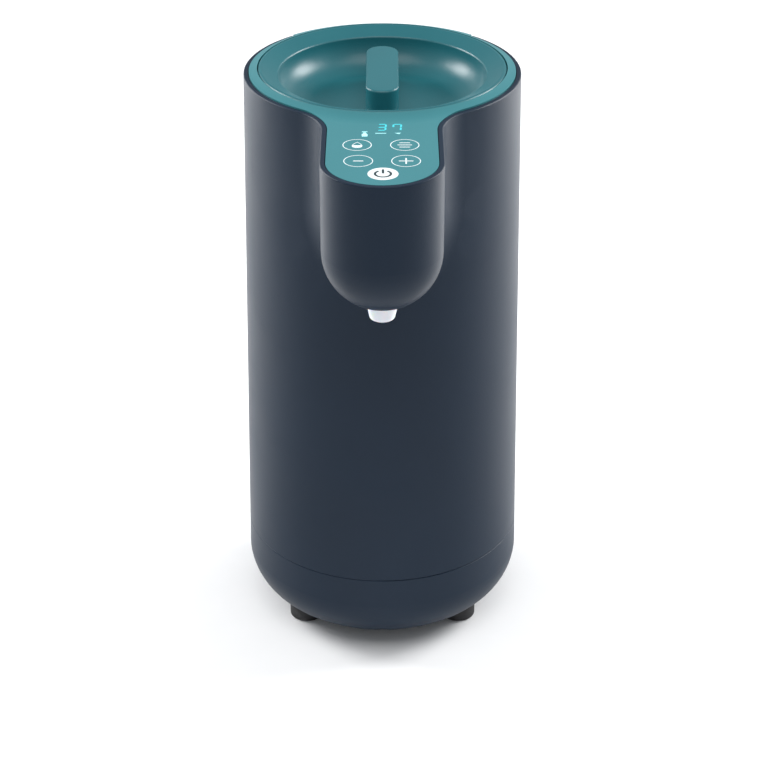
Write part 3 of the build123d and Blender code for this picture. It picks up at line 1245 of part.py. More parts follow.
FEET = {}
for number, (foot_x, foot_y) in enumerate(foot_places(), 1):
    FEET["foot_" + str(number)] = foot(foot_x, foot_y)

PARTS = {
    "outer_casing": outer_casing(),
    "base_shell": base_shell(),
    "base_screws": base_screws(),
    "top_panel": top_panel(),
    "panel_screws": panel_screws(),
    "lid_dish": lid_dish(),
    "lid_grip": lid_grip(),
    "lid_underplate": lid_underplate(),
    "lid_seal": lid_seal(),
    "lid_screws": lid_screws(),
    "water_tank": water_tank(),
    "tank_gasket": tank_gasket(),
    "tank_sleeve": tank_sleeve(),
    "tank_outlet": tank_outlet(),
    "outlet_seal": outlet_seal(),
    "outlet_nut": outlet_nut(),
    "heater_plate": heater_plate(),
    "heating_element": heating_element(),
    "heater_nuts": heater_nuts(),
    "temperature_sensor": temperature_sensor(),
    "thermal_cutout": thermal_cutout(),
    "chassis_plate": chassis_plate(),
    "chassis_screws": chassis_screws(),
    "pump_housing": pump_housing(),
    "pump_cover": pump_cover(),
    "pump_seal": pump_seal(),
    "pump_screws": pump_screws(),
    "impeller": impeller(),
    "motor_shaft": motor_shaft(),
    "motor_rotor": motor_rotor(),
    "motor_can": motor_can(),
    "motor_end_cap": motor_end_cap(),
    "motor_magnets": motor_magnets(),
    "shaft_bushes": shaft_bushes(),
    "inlet_hose": inlet_hose(),
    "outlet_hose": outlet_hose(),
    "hose_clips": hose_clips(),
    "nozzle_holder": nozzle_holder(),
    "nozzle": nozzle(),
    "nozzle_o_ring": nozzle_o_ring(),
    "control_board": control_board(),
    "board_screws": board_screws(),
    "touch_pads": touch_pads(),
    "display_module": display_module(),
    "light_guide": light_guide(),
    "buzzer": buzzer(),
    "ribbon_cable": ribbon_cable(),
    "ribbon_sockets": ribbon_sockets(),
    "power_board": power_board(),
    "transformer": transformer(),
    "capacitors": capacitors(),
    "relay": relay(),
    "mains_inlet": mains_inlet(),
    "inlet_pins": inlet_pins(),
    "power_leads": group(mains_leads() + heater_leads()),
    "small_screws": group(holder_screws() + inlet_screws() + motor_screws()),
}

os.makedirs("parts", exist_ok=True)
for name, solid in {**PARTS, **FEET}.items():
    save(solid, name)
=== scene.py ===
import json
import math

import bpy
import numpy as np
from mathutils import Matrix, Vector


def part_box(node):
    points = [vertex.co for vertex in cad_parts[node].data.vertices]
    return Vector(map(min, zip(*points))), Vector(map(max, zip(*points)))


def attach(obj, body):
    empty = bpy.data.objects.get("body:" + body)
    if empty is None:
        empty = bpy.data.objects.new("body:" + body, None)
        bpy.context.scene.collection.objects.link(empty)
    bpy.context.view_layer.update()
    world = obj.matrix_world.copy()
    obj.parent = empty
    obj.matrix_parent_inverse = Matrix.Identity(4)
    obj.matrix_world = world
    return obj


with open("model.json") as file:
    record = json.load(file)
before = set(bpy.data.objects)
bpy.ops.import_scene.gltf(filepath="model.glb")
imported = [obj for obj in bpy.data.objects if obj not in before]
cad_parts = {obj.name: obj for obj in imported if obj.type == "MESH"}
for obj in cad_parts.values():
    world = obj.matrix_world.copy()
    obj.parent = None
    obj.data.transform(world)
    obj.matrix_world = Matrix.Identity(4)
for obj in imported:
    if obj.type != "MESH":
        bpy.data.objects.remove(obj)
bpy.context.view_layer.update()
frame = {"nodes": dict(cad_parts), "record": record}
nodes = frame["nodes"]
slot_of = {s["node"]: s["material_slot"] for s in frame["record"]["subparts"]}

MM = 0.001
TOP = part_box("outer_casing")[1].z           # rim of the casing and top of the tongue
NOZZLE_LOW, NOZZLE_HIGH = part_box("nozzle")
NOZZLE_Y = (NOZZLE_LOW.y + NOZZLE_HIGH.y) / 2


# ---------------------------------------------------------------- node helpers
def sockets(tree, side, kinds):
    for label, kind, value in kinds:
        new = tree.interface.new_socket(name=label, in_out=side, socket_type=kind)
        if value is not None:
            new.default_value = value


def place(tree, kind, **settings):
    """Adds a node and sets its properties."""
    node = tree.nodes.new(kind)
    for key, value in settings.items():
        setattr(node, key, value)
    return node


def join(tree, source, target):
    tree.links.new(source, target)


def remap(tree, value, low, high, to_low, to_high):
    node = place(tree, "ShaderNodeMapRange")
    for index, number in ((1, low), (2, high), (3, to_low), (4, to_high)):
        node.inputs[index].default_value = number
    join(tree, value, node.inputs[0])
    return node.outputs[0]


def maths(tree, operation, first, second):
    node = place(tree, "ShaderNodeMath", operation=operation)
    for index, item in enumerate((first, second)):
        if isinstance(item, (int, float)):
            node.inputs[index].default_value = item
        else:
            join(tree, item, node.inputs[index])
    return node.outputs[0]


def noise(tree, where, scale, detail=2.0, distortion=0.0):
    node = place(tree, "ShaderNodeTexNoise")
    node.inputs["Scale"].default_value = scale
    node.inputs["Detail"].default_value = detail
    node.inputs["Distortion"].default_value = distortion
    join(tree, where, node.inputs["Vector"])
    return node.outputs["Fac"]


def stretched(tree, where, x, y, z):
    node = place(tree, "ShaderNodeMapping")
    node.inputs["Scale"].default_value = (x, y, z)
    join(tree, where, node.inputs["Vector"])
    return node.outputs["Vector"]


def mixed(tree, share, first, second):
    node = place(tree, "ShaderNodeMix", data_type="RGBA")
    for index, item in ((6, first), (7, second)):
        if isinstance(item, tuple):
            node.inputs[index].default_value = (*item, 1.0)
        else:
            join(tree, item, node.inputs[index])
    join(tree, share, node.inputs[0])
    return node.outputs[2]


def new_group(name, inputs, outputs):
    tree = bpy.data.node_groups.new(name, "ShaderNodeTree")
    sockets(tree, "INPUT", inputs)
    sockets(tree, "OUTPUT", outputs)
    start = tree.nodes.new("NodeGroupInput")
    end = tree.nodes.new("NodeGroupOutput")
    return tree, start, end


# ---------------------------------------------------------------- shared effects
def moulded_skin():
    """Spark-eroded mould skin. Height is a fine noise of the given scale plus a third of a noise
    twice as fine; Sheen mask is a broad noise that tells slightly polished spots from dull ones."""
    tree, start, end = new_group(
        "moulded_skin",
        [("Where", "NodeSocketVector", None), ("Scale", "NodeSocketFloat", 1500.0),
         ("Patch", "NodeSocketFloat", 14.0)],
        [("Height", "NodeSocketFloat", None), ("Sheen mask", "NodeSocketFloat", None)])
    fine = noise(tree, start.outputs["Where"], 1.0, detail=1.0)
    finer = noise(tree, start.outputs["Where"], 1.0, detail=0.0)
    broad = noise(tree, start.outputs["Where"], 1.0, detail=3.0, distortion=0.4)
    for source, factor in ((fine, 1.0), (finer, 2.0)):
        join(tree, maths(tree, "MULTIPLY", start.outputs["Scale"], factor),
             source.node.inputs["Scale"])
    join(tree, start.outputs["Patch"], broad.node.inputs["Scale"])
    height = maths(tree, "ADD", fine, maths(tree, "MULTIPLY", finer, 0.33))
    join(tree, height, end.inputs["Height"])
    join(tree, remap(tree, broad, 0.35, 0.65, 0.0, 1.0), end.inputs["Sheen mask"])
    return tree


def brushing():
    """Drawn or brushed metal. Height is noise stretched many times along one direction, so its
    cells are long scratches; Streak is the same at a broader pitch."""
    tree, start, end = new_group(
        "brushing",
        [("Where", "NodeSocketVector", None)],
        [("Height", "NodeSocketFloat", None), ("Streak", "NodeSocketFloat", None)])
    along = stretched(tree, start.outputs["Where"], 60.0, 60.0, 2600.0)
    broad = stretched(tree, start.outputs["Where"], 12.0, 12.0, 420.0)
    join(tree, noise(tree, along, 1.0, detail=2.0), end.inputs["Height"])
    join(tree, noise(tree, broad, 1.0, detail=2.0), end.inputs["Streak"])
    return tree


def handling_marks():
    """Faint smears and dust. Mask is a warped broad noise, raised to keep only its peaks, times a
    fine speckle, so that it is nothing on most of the surface."""
    tree, start, end = new_group(
        "handling_marks",
        [("Where", "NodeSocketVector", None), ("Scale", "NodeSocketFloat", 20.0)],
        [("Mask", "NodeSocketFloat", None)])
    smear = noise(tree, start.outputs["Where"], 1.0, detail=4.0, distortion=1.2)
    join(tree, start.outputs["Scale"], smear.node.inputs["Scale"])
    speck = noise(tree, start.outputs["Where"], 900.0, detail=1.0)
    peaks = remap(tree, smear, 0.55, 0.75, 0.0, 1.0)
    join(tree, maths(tree, "MULTIPLY", peaks, remap(tree, speck, 0.3, 0.7, 0.4, 1.0)),
         end.inputs["Mask"])
    return tree


SKIN, BRUSH, MARKS = moulded_skin(), brushing(), handling_marks()


def effect(tree, group, where, **values):
    node = tree.nodes.new("ShaderNodeGroup")
    node.node_tree = group
    join(tree, where, node.inputs["Where"])
    for key, value in values.items():
        node.inputs[key].default_value = value
    return node


def begin(name):
    material = bpy.data.materials.new(name)
    material.use_nodes = True
    tree = material.node_tree
    tree.nodes.clear()
    shader = tree.nodes.new("ShaderNodeBsdfPrincipled")
    out = tree.nodes.new("ShaderNodeOutputMaterial")
    where = tree.nodes.new("ShaderNodeTexCoord").outputs["Object"]
    join(tree, shader.outputs[0], out.inputs["Surface"])
    return material, tree, shader, where


def settle(shader, **plain):
    for key, value in plain.items():
        shader.inputs[key.replace("_", " ")].default_value = value


def raised(tree, shader, height, depth):
    bump = place(tree, "ShaderNodeBump")
    bump.inputs["Distance"].default_value = depth
    join(tree, height, bump.inputs["Height"])
    join(tree, bump.outputs["Normal"], shader.inputs["Normal"])


# ---------------------------------------------------------------- finishes
MARK_DULLNESS = 0.06     # roughness that a handling mark adds


def moulded(name, colour, lighter, roughness, spread, grain=1500.0, depth=0.00002, **plain):
    """Moulded plastic: two close colours mixed by a broad mask, the roughness moved by the same
    mask and by handling marks, and a fine mould skin as bump."""
    material, tree, shader, where = begin(name)
    skin = effect(tree, SKIN, where, Scale=grain, Patch=16.0)
    marks = effect(tree, MARKS, where, Scale=18.0)
    tone = mixed(tree, skin.outputs["Sheen mask"], colour, lighter)
    join(tree, tone, shader.inputs["Base Color"])
    rough = remap(tree, skin.outputs["Sheen mask"], 0.0, 1.0, roughness - spread, roughness + spread)
    dulled = maths(tree, "MULTIPLY", marks.outputs["Mask"], MARK_DULLNESS)
    worn = maths(tree, "ADD", rough, dulled)
    join(tree, worn, shader.inputs["Roughness"])
    raised(tree, shader, skin.outputs["Height"], depth)
    settle(shader, **plain)
    return material


def metal(name, colour, lighter, roughness, depth=0.000004):
    """Brushed or plated metal: streaked colour, streaked roughness and fine scratches."""
    material, tree, shader, where = begin(name)
    lines = effect(tree, BRUSH, where)
    join(tree, mixed(tree, lines.outputs["Streak"], colour, lighter), shader.inputs["Base Color"])
    join(tree, remap(tree, lines.outputs["Streak"], 0.2, 0.8, roughness - 0.06, roughness + 0.08),
         shader.inputs["Roughness"])
    raised(tree, shader, lines.outputs["Height"], depth)
    settle(shader, Metallic=1.0)
    return material


def rubber(name, colour, lighter, roughness):
    """Rubber: dull, with a coarse soft grain and paler dust in its smears."""
    material, tree, shader, where = begin(name)
    skin = effect(tree, SKIN, where, Scale=900.0, Patch=60.0)
    marks = effect(tree, MARKS, where, Scale=60.0)
    join(tree, mixed(tree, marks.outputs["Mask"], colour, lighter), shader.inputs["Base Color"])
    join(tree, remap(tree, skin.outputs["Sheen mask"], 0.0, 1.0, roughness - 0.05, roughness + 0.05),
         shader.inputs["Roughness"])
    raised(tree, shader, skin.outputs["Height"], 0.00004)
    return material


def foam(name):
    """Open foam: Voronoi cells as bump, with painted shade that makes it darker in the pores."""
    material, tree, shader, where = begin(name)
    cells = place(tree, "ShaderNodeTexVoronoi")
    cells.inputs["Scale"].default_value = 700.0
    join(tree, where, cells.inputs["Vector"])
    # painted shade: the colour is darker towards each cell's middle, where the bump makes a pore
    join(tree, mixed(tree, cells.outputs["Distance"], (0.05, 0.05, 0.055), (0.2, 0.2, 0.21)),
         shader.inputs["Base Color"])
    raised(tree, shader, cells.outputs["Distance"], 0.0004)
    settle(shader, Roughness=0.95)
    return material


def circuit(name):
    """Green solder mask over copper tracks: paler lines along the edges of square Voronoi cells,
    darker between them."""
    material, tree, shader, where = begin(name)
    cells = place(tree, "ShaderNodeTexVoronoi", distance="MANHATTAN", feature="DISTANCE_TO_EDGE")
    cells.inputs["Scale"].default_value = 260.0
    join(tree, where, cells.inputs["Vector"])
    track = remap(tree, cells.outputs["Distance"], 0.06, 0.1, 1.0, 0.0)
    join(tree, mixed(tree, track, (0.008, 0.09, 0.045), (0.03, 0.2, 0.09)), shader.inputs["Base Color"])
    raised(tree, shader, track, 0.00003)
    settle(shader, Roughness=0.28)
    return material


def wound(name):
    """Enamelled copper winding: a fine wave up the coil as bump and tone; the tone is painted shade, darker
    in the troughs between the turns.
    """
    material, tree, shader, where = begin(name)
    wave = place(tree, "ShaderNodeTexWave", bands_direction="Z")
    wave.inputs["Scale"].default_value = 900.0
    join(tree, where, wave.inputs["Vector"])
    # painted shade: the colour follows the bump, darker where the wave is low between the turns
    join(tree, mixed(tree, wave.outputs["Fac"], (0.16, 0.05, 0.02), (0.6, 0.26, 0.1)),
         shader.inputs["Base Color"])
    raised(tree, shader, wave.outputs["Fac"], 0.0002)
    settle(shader, Metallic=0.8, Roughness=0.3)
    return material


def clear(name):
    """Clear moulding with a fine ripple."""
    material, tree, shader, where = begin(name)
    ripple = noise(tree, where, 240.0, detail=1.0)
    join(tree, mixed(tree, ripple, (0.86, 0.9, 0.92), (0.95, 0.97, 0.98)), shader.inputs["Base Color"])
    raised(tree, shader, ripple, 0.00003)
    settle(shader, Roughness=0.12, Transmission_Weight=0.9, IOR=1.49)
    return material


def milky(name):
    """Milky silicone of the spout: a pale cool colour that drifts, light spreading under it."""
    material, tree, shader, where = begin(name)
    skin = effect(tree, SKIN, where, Scale=700.0, Patch=120.0)
    join(tree, mixed(tree, skin.outputs["Sheen mask"], (0.82, 0.87, 0.95), (0.88, 0.92, 0.97)),
         shader.inputs["Base Color"])
    join(tree, remap(tree, skin.outputs["Sheen mask"], 0.0, 1.0, 0.3, 0.42), shader.inputs["Roughness"])
    raised(tree, shader, skin.outputs["Height"], 0.00002)
    settle(shader, Subsurface_Weight=0.4, Subsurface_Scale=0.002)
    return material


def ink(name, colour, speckle, glow=0.0):
    """Printed ink, or a window lit from behind: a colour with a fine speckle where the ink is thinner,
    and the same pattern as its glow. On printed ink that glow is painted light: a weak emission that
    makes the print read brighter, though nothing lights it from behind."""
    material, tree, shader, where = begin(name)
    dots = noise(tree, where, 2600.0, detail=1.0)
    tone = mixed(tree, remap(tree, dots, 0.3, 0.75, 0.0, 1.0), colour, speckle)
    join(tree, tone, shader.inputs["Base Color"])
    raised(tree, shader, dots, 0.00001)
    settle(shader, Roughness=0.4)
    if glow:
        join(tree, tone, shader.inputs["Emission Color"])
        settle(shader, Emission_Strength=glow)
    return material


FINISHES = {
    "casing": moulded("casing_finish", (0.0075, 0.0185, 0.037), (0.009, 0.021, 0.041), 0.42, 0.02,
                      Specular_IOR_Level=0.2),
    "teal_panel": moulded("teal_panel_finish", (0.038, 0.2, 0.228), (0.042, 0.212, 0.242), 0.36, 0.02),
    "teal_lid": moulded("teal_lid_finish", (0.011, 0.125, 0.15), (0.014, 0.137, 0.163), 0.34, 0.02),
    "white_plastic": moulded("white_plastic_finish", (0.74, 0.74, 0.71), (0.8, 0.8, 0.78), 0.42, 0.03),
    "black_plastic": moulded("black_plastic_finish", (0.012, 0.012, 0.013), (0.02, 0.02, 0.021), 0.4, 0.04),
    "capacitor": moulded("capacitor_finish", (0.01, 0.014, 0.05), (0.014, 0.02, 0.07), 0.25, 0.04),
    "grey_vinyl": moulded("grey_vinyl_finish", (0.3, 0.31, 0.33), (0.4, 0.41, 0.43), 0.45, 0.04),
    "red_vinyl": moulded("red_vinyl_finish", (0.35, 0.02, 0.02), (0.45, 0.03, 0.025), 0.42, 0.04),
    "nozzle_white": milky("nozzle_white_finish"),
    "silicone": rubber("silicone_finish", (0.7, 0.7, 0.67), (0.8, 0.8, 0.78), 0.55),
    "black_rubber": rubber("black_rubber_finish", (0.012, 0.012, 0.014), (0.05, 0.05, 0.052), 0.6),
    "steel": metal("steel_finish", (0.55, 0.55, 0.54), (0.68, 0.68, 0.67), 0.28),
    "zinc": metal("zinc_finish", (0.58, 0.59, 0.62), (0.72, 0.72, 0.75), 0.34),
    "aluminium": metal("aluminium_finish", (0.62, 0.62, 0.63), (0.75, 0.75, 0.76), 0.5, 0.00003),
    "bronze": metal("bronze_finish", (0.52, 0.3, 0.12), (0.7, 0.45, 0.2), 0.36),
    "magnet": metal("magnet_finish", (0.06, 0.06, 0.065), (0.1, 0.1, 0.11), 0.6),
    "foam": foam("foam_finish"),
    "circuit_board": circuit("circuit_board_finish"),
    "winding": wound("winding_finish"),
    "clear_plastic": clear("clear_plastic_finish"),
}
for node_name, node_object in nodes.items():
    node_object.data.materials.clear()
    node_object.data.materials.append(FINISHES[slot_of[node_name]])


# ---------------------------------------------------------------- printed signs
def round_outline(x, y, radius, count=72):
    """Circle: centre plus radius times cosine and sine of evenly spaced angles."""
    angle = np.linspace(0, 2 * math.pi, count, endpoint=False)
    return np.column_stack((x + radius * np.cos(angle), y + radius * np.sin(angle)))


def stroke_outline(x0, y0, x1, y1, width, count=10):
    """Straight stroke with round ends: two half circles of half the width, one round each end."""
    turn = math.atan2(y1 - y0, x1 - x0)
    half = np.linspace(-math.pi / 2, math.pi / 2, count)
    far = np.column_stack((x1 + width / 2 * np.cos(turn + half), y1 + width / 2 * np.sin(turn + half)))
    near = np.column_stack((x0 - width / 2 * np.cos(turn + half), y0 - width / 2 * np.sin(turn + half)))
    return np.vstack((far, near))


def arc_outline(x, y, radius, width, start, end, count=60):
    """Curved stroke: the outer arc forwards, then the inner arc backwards."""
    angle = np.linspace(start, end, count)
    outer = np.column_stack((np.cos(angle), np.sin(angle))) * (radius + width / 2)
    inner = np.column_stack((np.cos(angle), np.sin(angle)))[::-1] * (radius - width / 2)
    return np.vstack((outer, inner)) + (x, y)


DROP_FULLNESS = 1.3      # makes the widest place of a drop as wide as it is called


def drop_outline(x, y, half_width, height, low=-1.0, count=48):
    """Water drop, for t from 0 to a full turn. Across: DROP_FULLNESS times half the width, times
    the sine of t and the sine of half of t. Up: half the height times the cosine of t. With low,
    what is over that share of half the height is cut off flat."""
    t = np.linspace(0, 2 * math.pi, count, endpoint=False)
    across = -half_width * DROP_FULLNESS * np.sin(t) * np.sin(t / 2)
    up = np.cos(t)
    if low > -1.0:
        up = np.minimum(up, low)
    return np.column_stack((x + across, y + height / 2 * up))


def plates(outlines, z0, z1):
    """Closed plates, one for each outline: its points at z1 as the upper face, the same points
    backwards at z0 as the lower face, and a quad under every edge. Returns vertices and faces."""
    verts, faces, start = [], [], 0
    for outline in outlines:
        x, y = outline[:, 0], outline[:, 1]
        area = np.sum(x * np.roll(y, -1) - np.roll(x, -1) * y)
        points = outline if area > 0 else outline[::-1]
        n = len(points)
        top = np.column_stack((points, np.full(n, z1)))
        low = np.column_stack((points, np.full(n, z0)))
        verts.append(np.vstack((top, low)))
        i = np.arange(n)
        j = (i + 1) % n
        faces.append((start + i).tolist())
        faces.append((start + n + i[::-1]).tolist())
        sides = np.column_stack((start + i, start + n + i, start + n + j, start + j))
        faces.extend(sides.tolist())
        start += 2 * n
    return np.vstack(verts), faces


def bands(rings, z0, z1, count=96):
    """Closed flat rings: a rectangle of four corners, from inner to outer radius and z0 to z1,
    carried round a circle. A grid of angle by corner, closed both ways."""
    verts, faces, start = [], [], 0
    for x, y, inner, outer in rings:
        angle = np.linspace(0, 2 * math.pi, count, endpoint=False)
        radius = np.array([outer, outer, inner, inner])
        height = np.array([z0, z1, z1, z0])
        px = x + np.outer(np.cos(angle), radius)
        py = y + np.outer(np.sin(angle), radius)
        pz = np.tile(height, (count, 1))
        verts.append(np.stack((px, py, pz), axis=-1).reshape(-1, 3))
        i, k = np.meshgrid(np.arange(count), np.arange(4), indexing="ij")
        i2, k2 = (i + 1) % count, (k + 1) % 4
        quads = np.stack((i * 4 + k, i2 * 4 + k, i2 * 4 + k2, i * 4 + k2), axis=-1).reshape(-1, 4)
        faces.extend((quads + start).tolist())
        start += count * 4
    return np.vstack(verts), faces


def piece(name, parts, material, body="root"):
    """One object from several lists of vertices and faces in millimetres."""
    verts, faces, start = [], [], 0
    for points, polygons in parts:
        verts.append(points)
        faces.extend([[start + v for v in polygon] for polygon in polygons])
        start += len(points)
    mesh = bpy.data.meshes.new(name)
    mesh.from_pydata((np.vstack(verts) * MM).tolist(), [], faces)
    mesh.validate()
    mesh.update()
    made = bpy.data.objects.new(name, mesh)
    bpy.context.scene.collection.objects.link(made)
    mesh.materials.append(material)
    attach(made, body)
    return made


PRINT_LOW = TOP / MM
PRINT_TOP = PRINT_LOW + 0.045
INK_TOP = PRINT_TOP + 0.03
AXIS = NOZZLE_Y / MM                        # the signs are laid out from the nozzle's axis
KEY_RING = 5.65
LINE = 0.34
LEFT_TOP = (-10.0, AXIS + 17.7)
RIGHT_TOP = (8.95, AXIS + 17.7)
LEFT_LOW = (-9.4, AXIS + 1.4)
RIGHT_LOW = (9.35, AXIS + 1.4)
POWER = (0.3, AXIS - 11.3)
SIGN_STROKE = 0.62
BAR_STROKE = 0.55
MINUS_STROKE, MINUS_REACH = 0.7, 1.7
PLUS_REACH = 2.6
BAR_PITCH, SHORT_BAR, LONG_BAR = 2.2, 1.9, 2.7
DROP_WIDTH, DROP_HEIGHT = 2.1, 6.0          # half the width, whole height
DROP_INSIDE, DROP_INSIDE_HEIGHT = 1.75, 5.2
WATER_HEIGHT, WATER_LEVEL = 5.0, -0.15      # level is a share of half the height
POWER_DISC = 6.0
POWER_RING, POWER_STROKE = 3.1, 0.95
POWER_GAP = math.radians(32)
POWER_BAR_LOW, POWER_BAR_TOP = 0.8, 3.9
DIGIT_FOOT, DIGIT_WIDTH, DIGIT_HEIGHT = AXIS + 33.1, 3.1, 6.4
DIGIT_STROKE, DIGIT_LEAN, SEGMENT_GAP = 0.8, 0.05, 0.12

# painted light: the printed white ink is given a weak glow (0.12) so that it reads brighter; it is not lit
# from behind
WHITE_INK_PAINTED_GLOW = ink("white_ink_painted_glow", (0.78, 0.84, 0.85), (0.7, 0.78, 0.79), glow=0.12)
DARK_INK = ink("dark_ink", (0.02, 0.04, 0.05), (0.03, 0.05, 0.06))
LIT_DIGITS = ink("lit_digits", (0.06, 0.52, 0.58), (0.045, 0.46, 0.53), glow=0.42)
LIT_SIGNS = ink("lit_signs", (0.45, 0.88, 0.9), (0.38, 0.82, 0.85), glow=0.35)


def key_rings():
    """Four thin rings round the keys."""
    half = LINE / 2
    rings = [(x, y, KEY_RING - half, KEY_RING + half) for x, y in (LEFT_TOP, RIGHT_TOP, LEFT_LOW, RIGHT_LOW)]
    return piece("key_rings", [bands(rings, PRINT_LOW, PRINT_TOP)], WHITE_INK_PAINTED_GLOW)


def key_signs():
    """Minus, plus, three short lines for the choice of programme, and a half-full drop."""
    x, y = LEFT_LOW
    outlines = [stroke_outline(x - MINUS_REACH, y, x + MINUS_REACH, y, MINUS_STROKE)]
    x, y = RIGHT_LOW
    outlines.append(stroke_outline(x - PLUS_REACH, y, x + PLUS_REACH, y, SIGN_STROKE))
    for side in (1, -1):
        start, end = y + side * SIGN_STROKE / 2, y + side * PLUS_REACH
        outlines.append(stroke_outline(x, start, x, end, SIGN_STROKE))
    x, y = RIGHT_TOP
    for row, reach in ((BAR_PITCH, SHORT_BAR), (0.0, LONG_BAR), (-BAR_PITCH, SHORT_BAR)):
        outlines.append(stroke_outline(x - reach, y + row, x + reach, y + row, BAR_STROKE))
    x, y = LEFT_TOP
    outlines.append(drop_outline(x, y, DROP_INSIDE, WATER_HEIGHT, low=WATER_LEVEL))
    signs = plates(outlines, PRINT_LOW, PRINT_TOP)
    edge = drop_outline(x, y, DROP_WIDTH, DROP_HEIGHT)
    inside = drop_outline(x, y, DROP_INSIDE, DROP_INSIDE_HEIGHT)
    return piece("key_signs", [signs, rim_between(edge, inside)], WHITE_INK_PAINTED_GLOW)


def rim_between(outer, inner):
    """Closed thin wall between two outlines of as many points: a grid of point by corner."""
    n = len(outer)
    if np.sum(outer[:, 0] * np.roll(outer[:, 1], -1) - np.roll(outer[:, 0], -1) * outer[:, 1]) < 0:
        outer, inner = outer[::-1], inner[::-1]
    low, top = np.full((n, 1), PRINT_LOW), np.full((n, 1), PRINT_TOP)
    grid = np.stack((np.hstack((outer, low)), np.hstack((outer, top)),
                     np.hstack((inner, top)), np.hstack((inner, low))), axis=1)
    i, k = np.meshgrid(np.arange(n), np.arange(4), indexing="ij")
    i2, k2 = (i + 1) % n, (k + 1) % 4
    quads = np.stack((i * 4 + k, i2 * 4 + k, i2 * 4 + k2, i * 4 + k2), axis=-1).reshape(-1, 4)
    return grid.reshape(-1, 3), quads.tolist()


def power_key():
    """White disc with an open ring and a short bar in dark ink on it."""
    x, y = POWER
    disc = plates([round_outline(x, y, POWER_DISC, 96)], PRINT_LOW, PRINT_TOP)
    piece("power_disc", [disc], WHITE_INK_PAINTED_GLOW)
    start, end = math.pi / 2 + POWER_GAP, math.pi * 2.5 - POWER_GAP
    ring = arc_outline(x, y, POWER_RING, POWER_STROKE, start, end)
    bar = stroke_outline(x, y + POWER_BAR_LOW, x, y + POWER_BAR_TOP, POWER_STROKE)
    piece("power_sign", [plates([ring, bar], PRINT_TOP, INK_TOP)], DARK_INK)


SEGMENTS = {
    "top": (0, 1, 1, 1), "high_left": (0, 0.5, 0, 1), "high_right": (1, 0.5, 1, 1),
    "middle": (0, 0.5, 1, 0.5), "low_left": (0, 0, 0, 0.5), "low_right": (1, 0, 1, 0.5),
    "bottom": (0, 0, 1, 0)}
DIGITS = {
    3: ("top", "high_right", "middle", "low_right", "bottom"),
    7: ("top", "high_left", "high_right", "low_right")}


def segment_outline(x, y, segment):
    """Bar of a digit: a stretched hexagon from one end of the segment to the other, each end
    pointed and drawn in a little, leaned sideways in step with its height."""
    a, b, c, d = SEGMENTS[segment]
    start = np.array([a * DIGIT_WIDTH, b * DIGIT_HEIGHT])
    end = np.array([c * DIGIT_WIDTH, d * DIGIT_HEIGHT])
    along = (end - start) / np.linalg.norm(end - start)
    across = np.array([-along[1], along[0]]) * DIGIT_STROKE / 2
    slant = along * DIGIT_STROKE / 2
    first, last = start + along * SEGMENT_GAP, end - along * SEGMENT_GAP
    points = np.array([first, first + slant + across, last - slant + across, last,
                       last - slant - across, first + slant - across])
    points[:, 0] += points[:, 1] * DIGIT_LEAN
    return points + (x, y)


def display():
    """Two lit digits, a bottle sign at their left and two small marks under them."""
    outlines = []
    for left, digit in ((-1.9, 3), (4.3, 7)):
        for segment in DIGITS[digit]:
            outlines.append(segment_outline(left, DIGIT_FOOT, segment))
    piece("lit_digits", [plates(outlines, PRINT_LOW, PRINT_TOP)], LIT_DIGITS)
    x, y = -7.1, AXIS + 26.6
    bottle = np.array([(-1.0, 0.0), (1.0, 0.0), (1.15, 0.4), (1.15, 2.4), (0.55, 3.2), (0.55, 4.1),
                       (-0.55, 4.1), (-0.55, 3.2), (-1.15, 2.4), (-1.15, 0.4)])
    signs = [bottle + (x, y), stroke_outline(x - 0.9, y + 4.9, x + 0.9, y + 4.9, 0.55),
             stroke_outline(-2.6, AXIS + 29.9, 1.4, AXIS + 29.9, 0.5),
             np.array([(5.0, AXIS + 30.2), (7.6, AXIS + 30.4), (6.6, AXIS + 29.2)])]
    piece("lit_signs", [plates(signs, PRINT_LOW, PRINT_TOP)], LIT_SIGNS)


key_rings()
key_signs()
power_key()
display()


# ---------------------------------------------------------------- floor, light, camera
FLOOR_REACH = 4.0
FLOOR_CELLS = 4


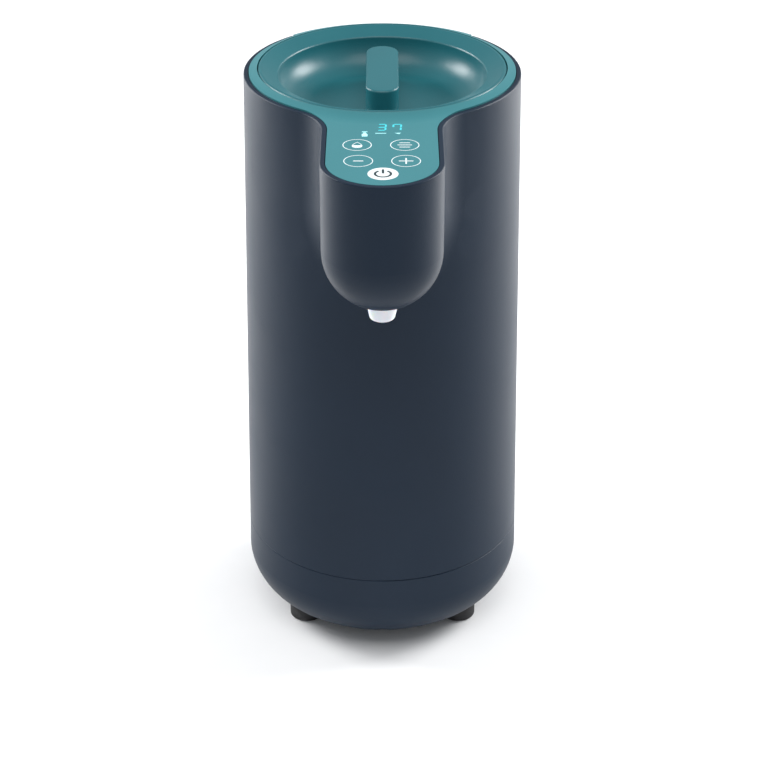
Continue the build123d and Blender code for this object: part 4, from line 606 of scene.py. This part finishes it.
def floor():
    """Pale studio floor: a flat square grid of FLOOR_CELLS quads a side."""
    side = np.linspace(-FLOOR_REACH, FLOOR_REACH, FLOOR_CELLS + 1)
    x, y = np.meshgrid(side, side, indexing="ij")
    verts = np.column_stack((x.ravel(), y.ravel(), np.zeros(x.size)))
    i, j = np.meshgrid(np.arange(FLOOR_CELLS), np.arange(FLOOR_CELLS), indexing="ij")
    row = FLOOR_CELLS + 1
    corner = (i * row + j).ravel()
    faces = np.column_stack((corner, corner + row, corner + row + 1, corner + 1))
    mesh = bpy.data.meshes.new("floor")
    mesh.from_pydata(verts.tolist(), [], faces.tolist())
    made = bpy.data.objects.new("floor", mesh)
    bpy.context.scene.collection.objects.link(made)
    material, tree, shader, where = begin("floor_paper")
    fibre = noise(tree, where, 60.0, detail=3.0)
    join(tree, mixed(tree, fibre, (0.9, 0.905, 0.91), (0.93, 0.93, 0.935)), shader.inputs["Base Color"])
    settle(shader, Roughness=0.9, Specular_IOR_Level=0.1)
    mesh.materials.append(material)


# name, place, point it is turned to, width, height, watts
SOFT_BOXES = (
    ("top_box", (0.0, -0.45, 1.3), (0, 0, 0.2), 1.3, 0.8, 7.2),
    ("high_left_box", (-0.88, 0.36, 0.72), (0, 0, 0.2), 0.45, 0.45, 9.0),
    ("high_right_box", (0.88, 0.36, 0.72), (0, 0, 0.2), 0.45, 0.45, 10.0),
    ("low_left_box", (-0.72, 0.55, 0.22), (-0.1, 0.1, 0.0), 0.6, 0.35, 3.6),
    ("low_right_box", (0.72, 0.55, 0.22), (0.1, 0.1, 0.0), 0.6, 0.35, 3.6))
SKY_COLOUR = (0.96, 0.98, 1.0, 1.0)
SKY_STRENGTH = 0.42
EYE = (0.0005, -0.8793, 0.5938)
LENS = 100.9
SENSOR = 36.0
TILT_DOWN = 28.8         # degrees


def soft_box(name, place_at, aim, width, height, power):
    light = bpy.data.lights.new(name, "AREA")
    light.shape = "RECTANGLE"
    light.size, light.size_y = width, height
    light.energy = power
    lamp = bpy.data.objects.new(name, light)
    bpy.context.scene.collection.objects.link(lamp)
    lamp.location = place_at
    direction = np.array(aim) - np.array(place_at)
    lamp.rotation_euler = Vector(direction).to_track_quat("-Z", "Y").to_euler()
    return lamp


def studio():
    world = bpy.data.worlds.new("studio")
    world.use_nodes = True
    background = world.node_tree.nodes["Background"]
    background.inputs["Color"].default_value = SKY_COLOUR
    background.inputs["Strength"].default_value = SKY_STRENGTH
    bpy.context.scene.world = world
    for box in SOFT_BOXES:
        soft_box(*box)


def camera():
    lens = bpy.data.cameras.new("camera")
    lens.sensor_width = SENSOR
    lens.lens = LENS
    lens.clip_start = 0.05
    eye = bpy.data.objects.new("camera", lens)
    bpy.context.scene.collection.objects.link(eye)
    eye.location = EYE
    eye.rotation_euler = (math.radians(90 - TILT_DOWN), 0.0, 0.0)
    bpy.context.scene.camera = eye


floor()
studio()
camera()
bpy.context.scene.view_settings.view_transform = "Standard"
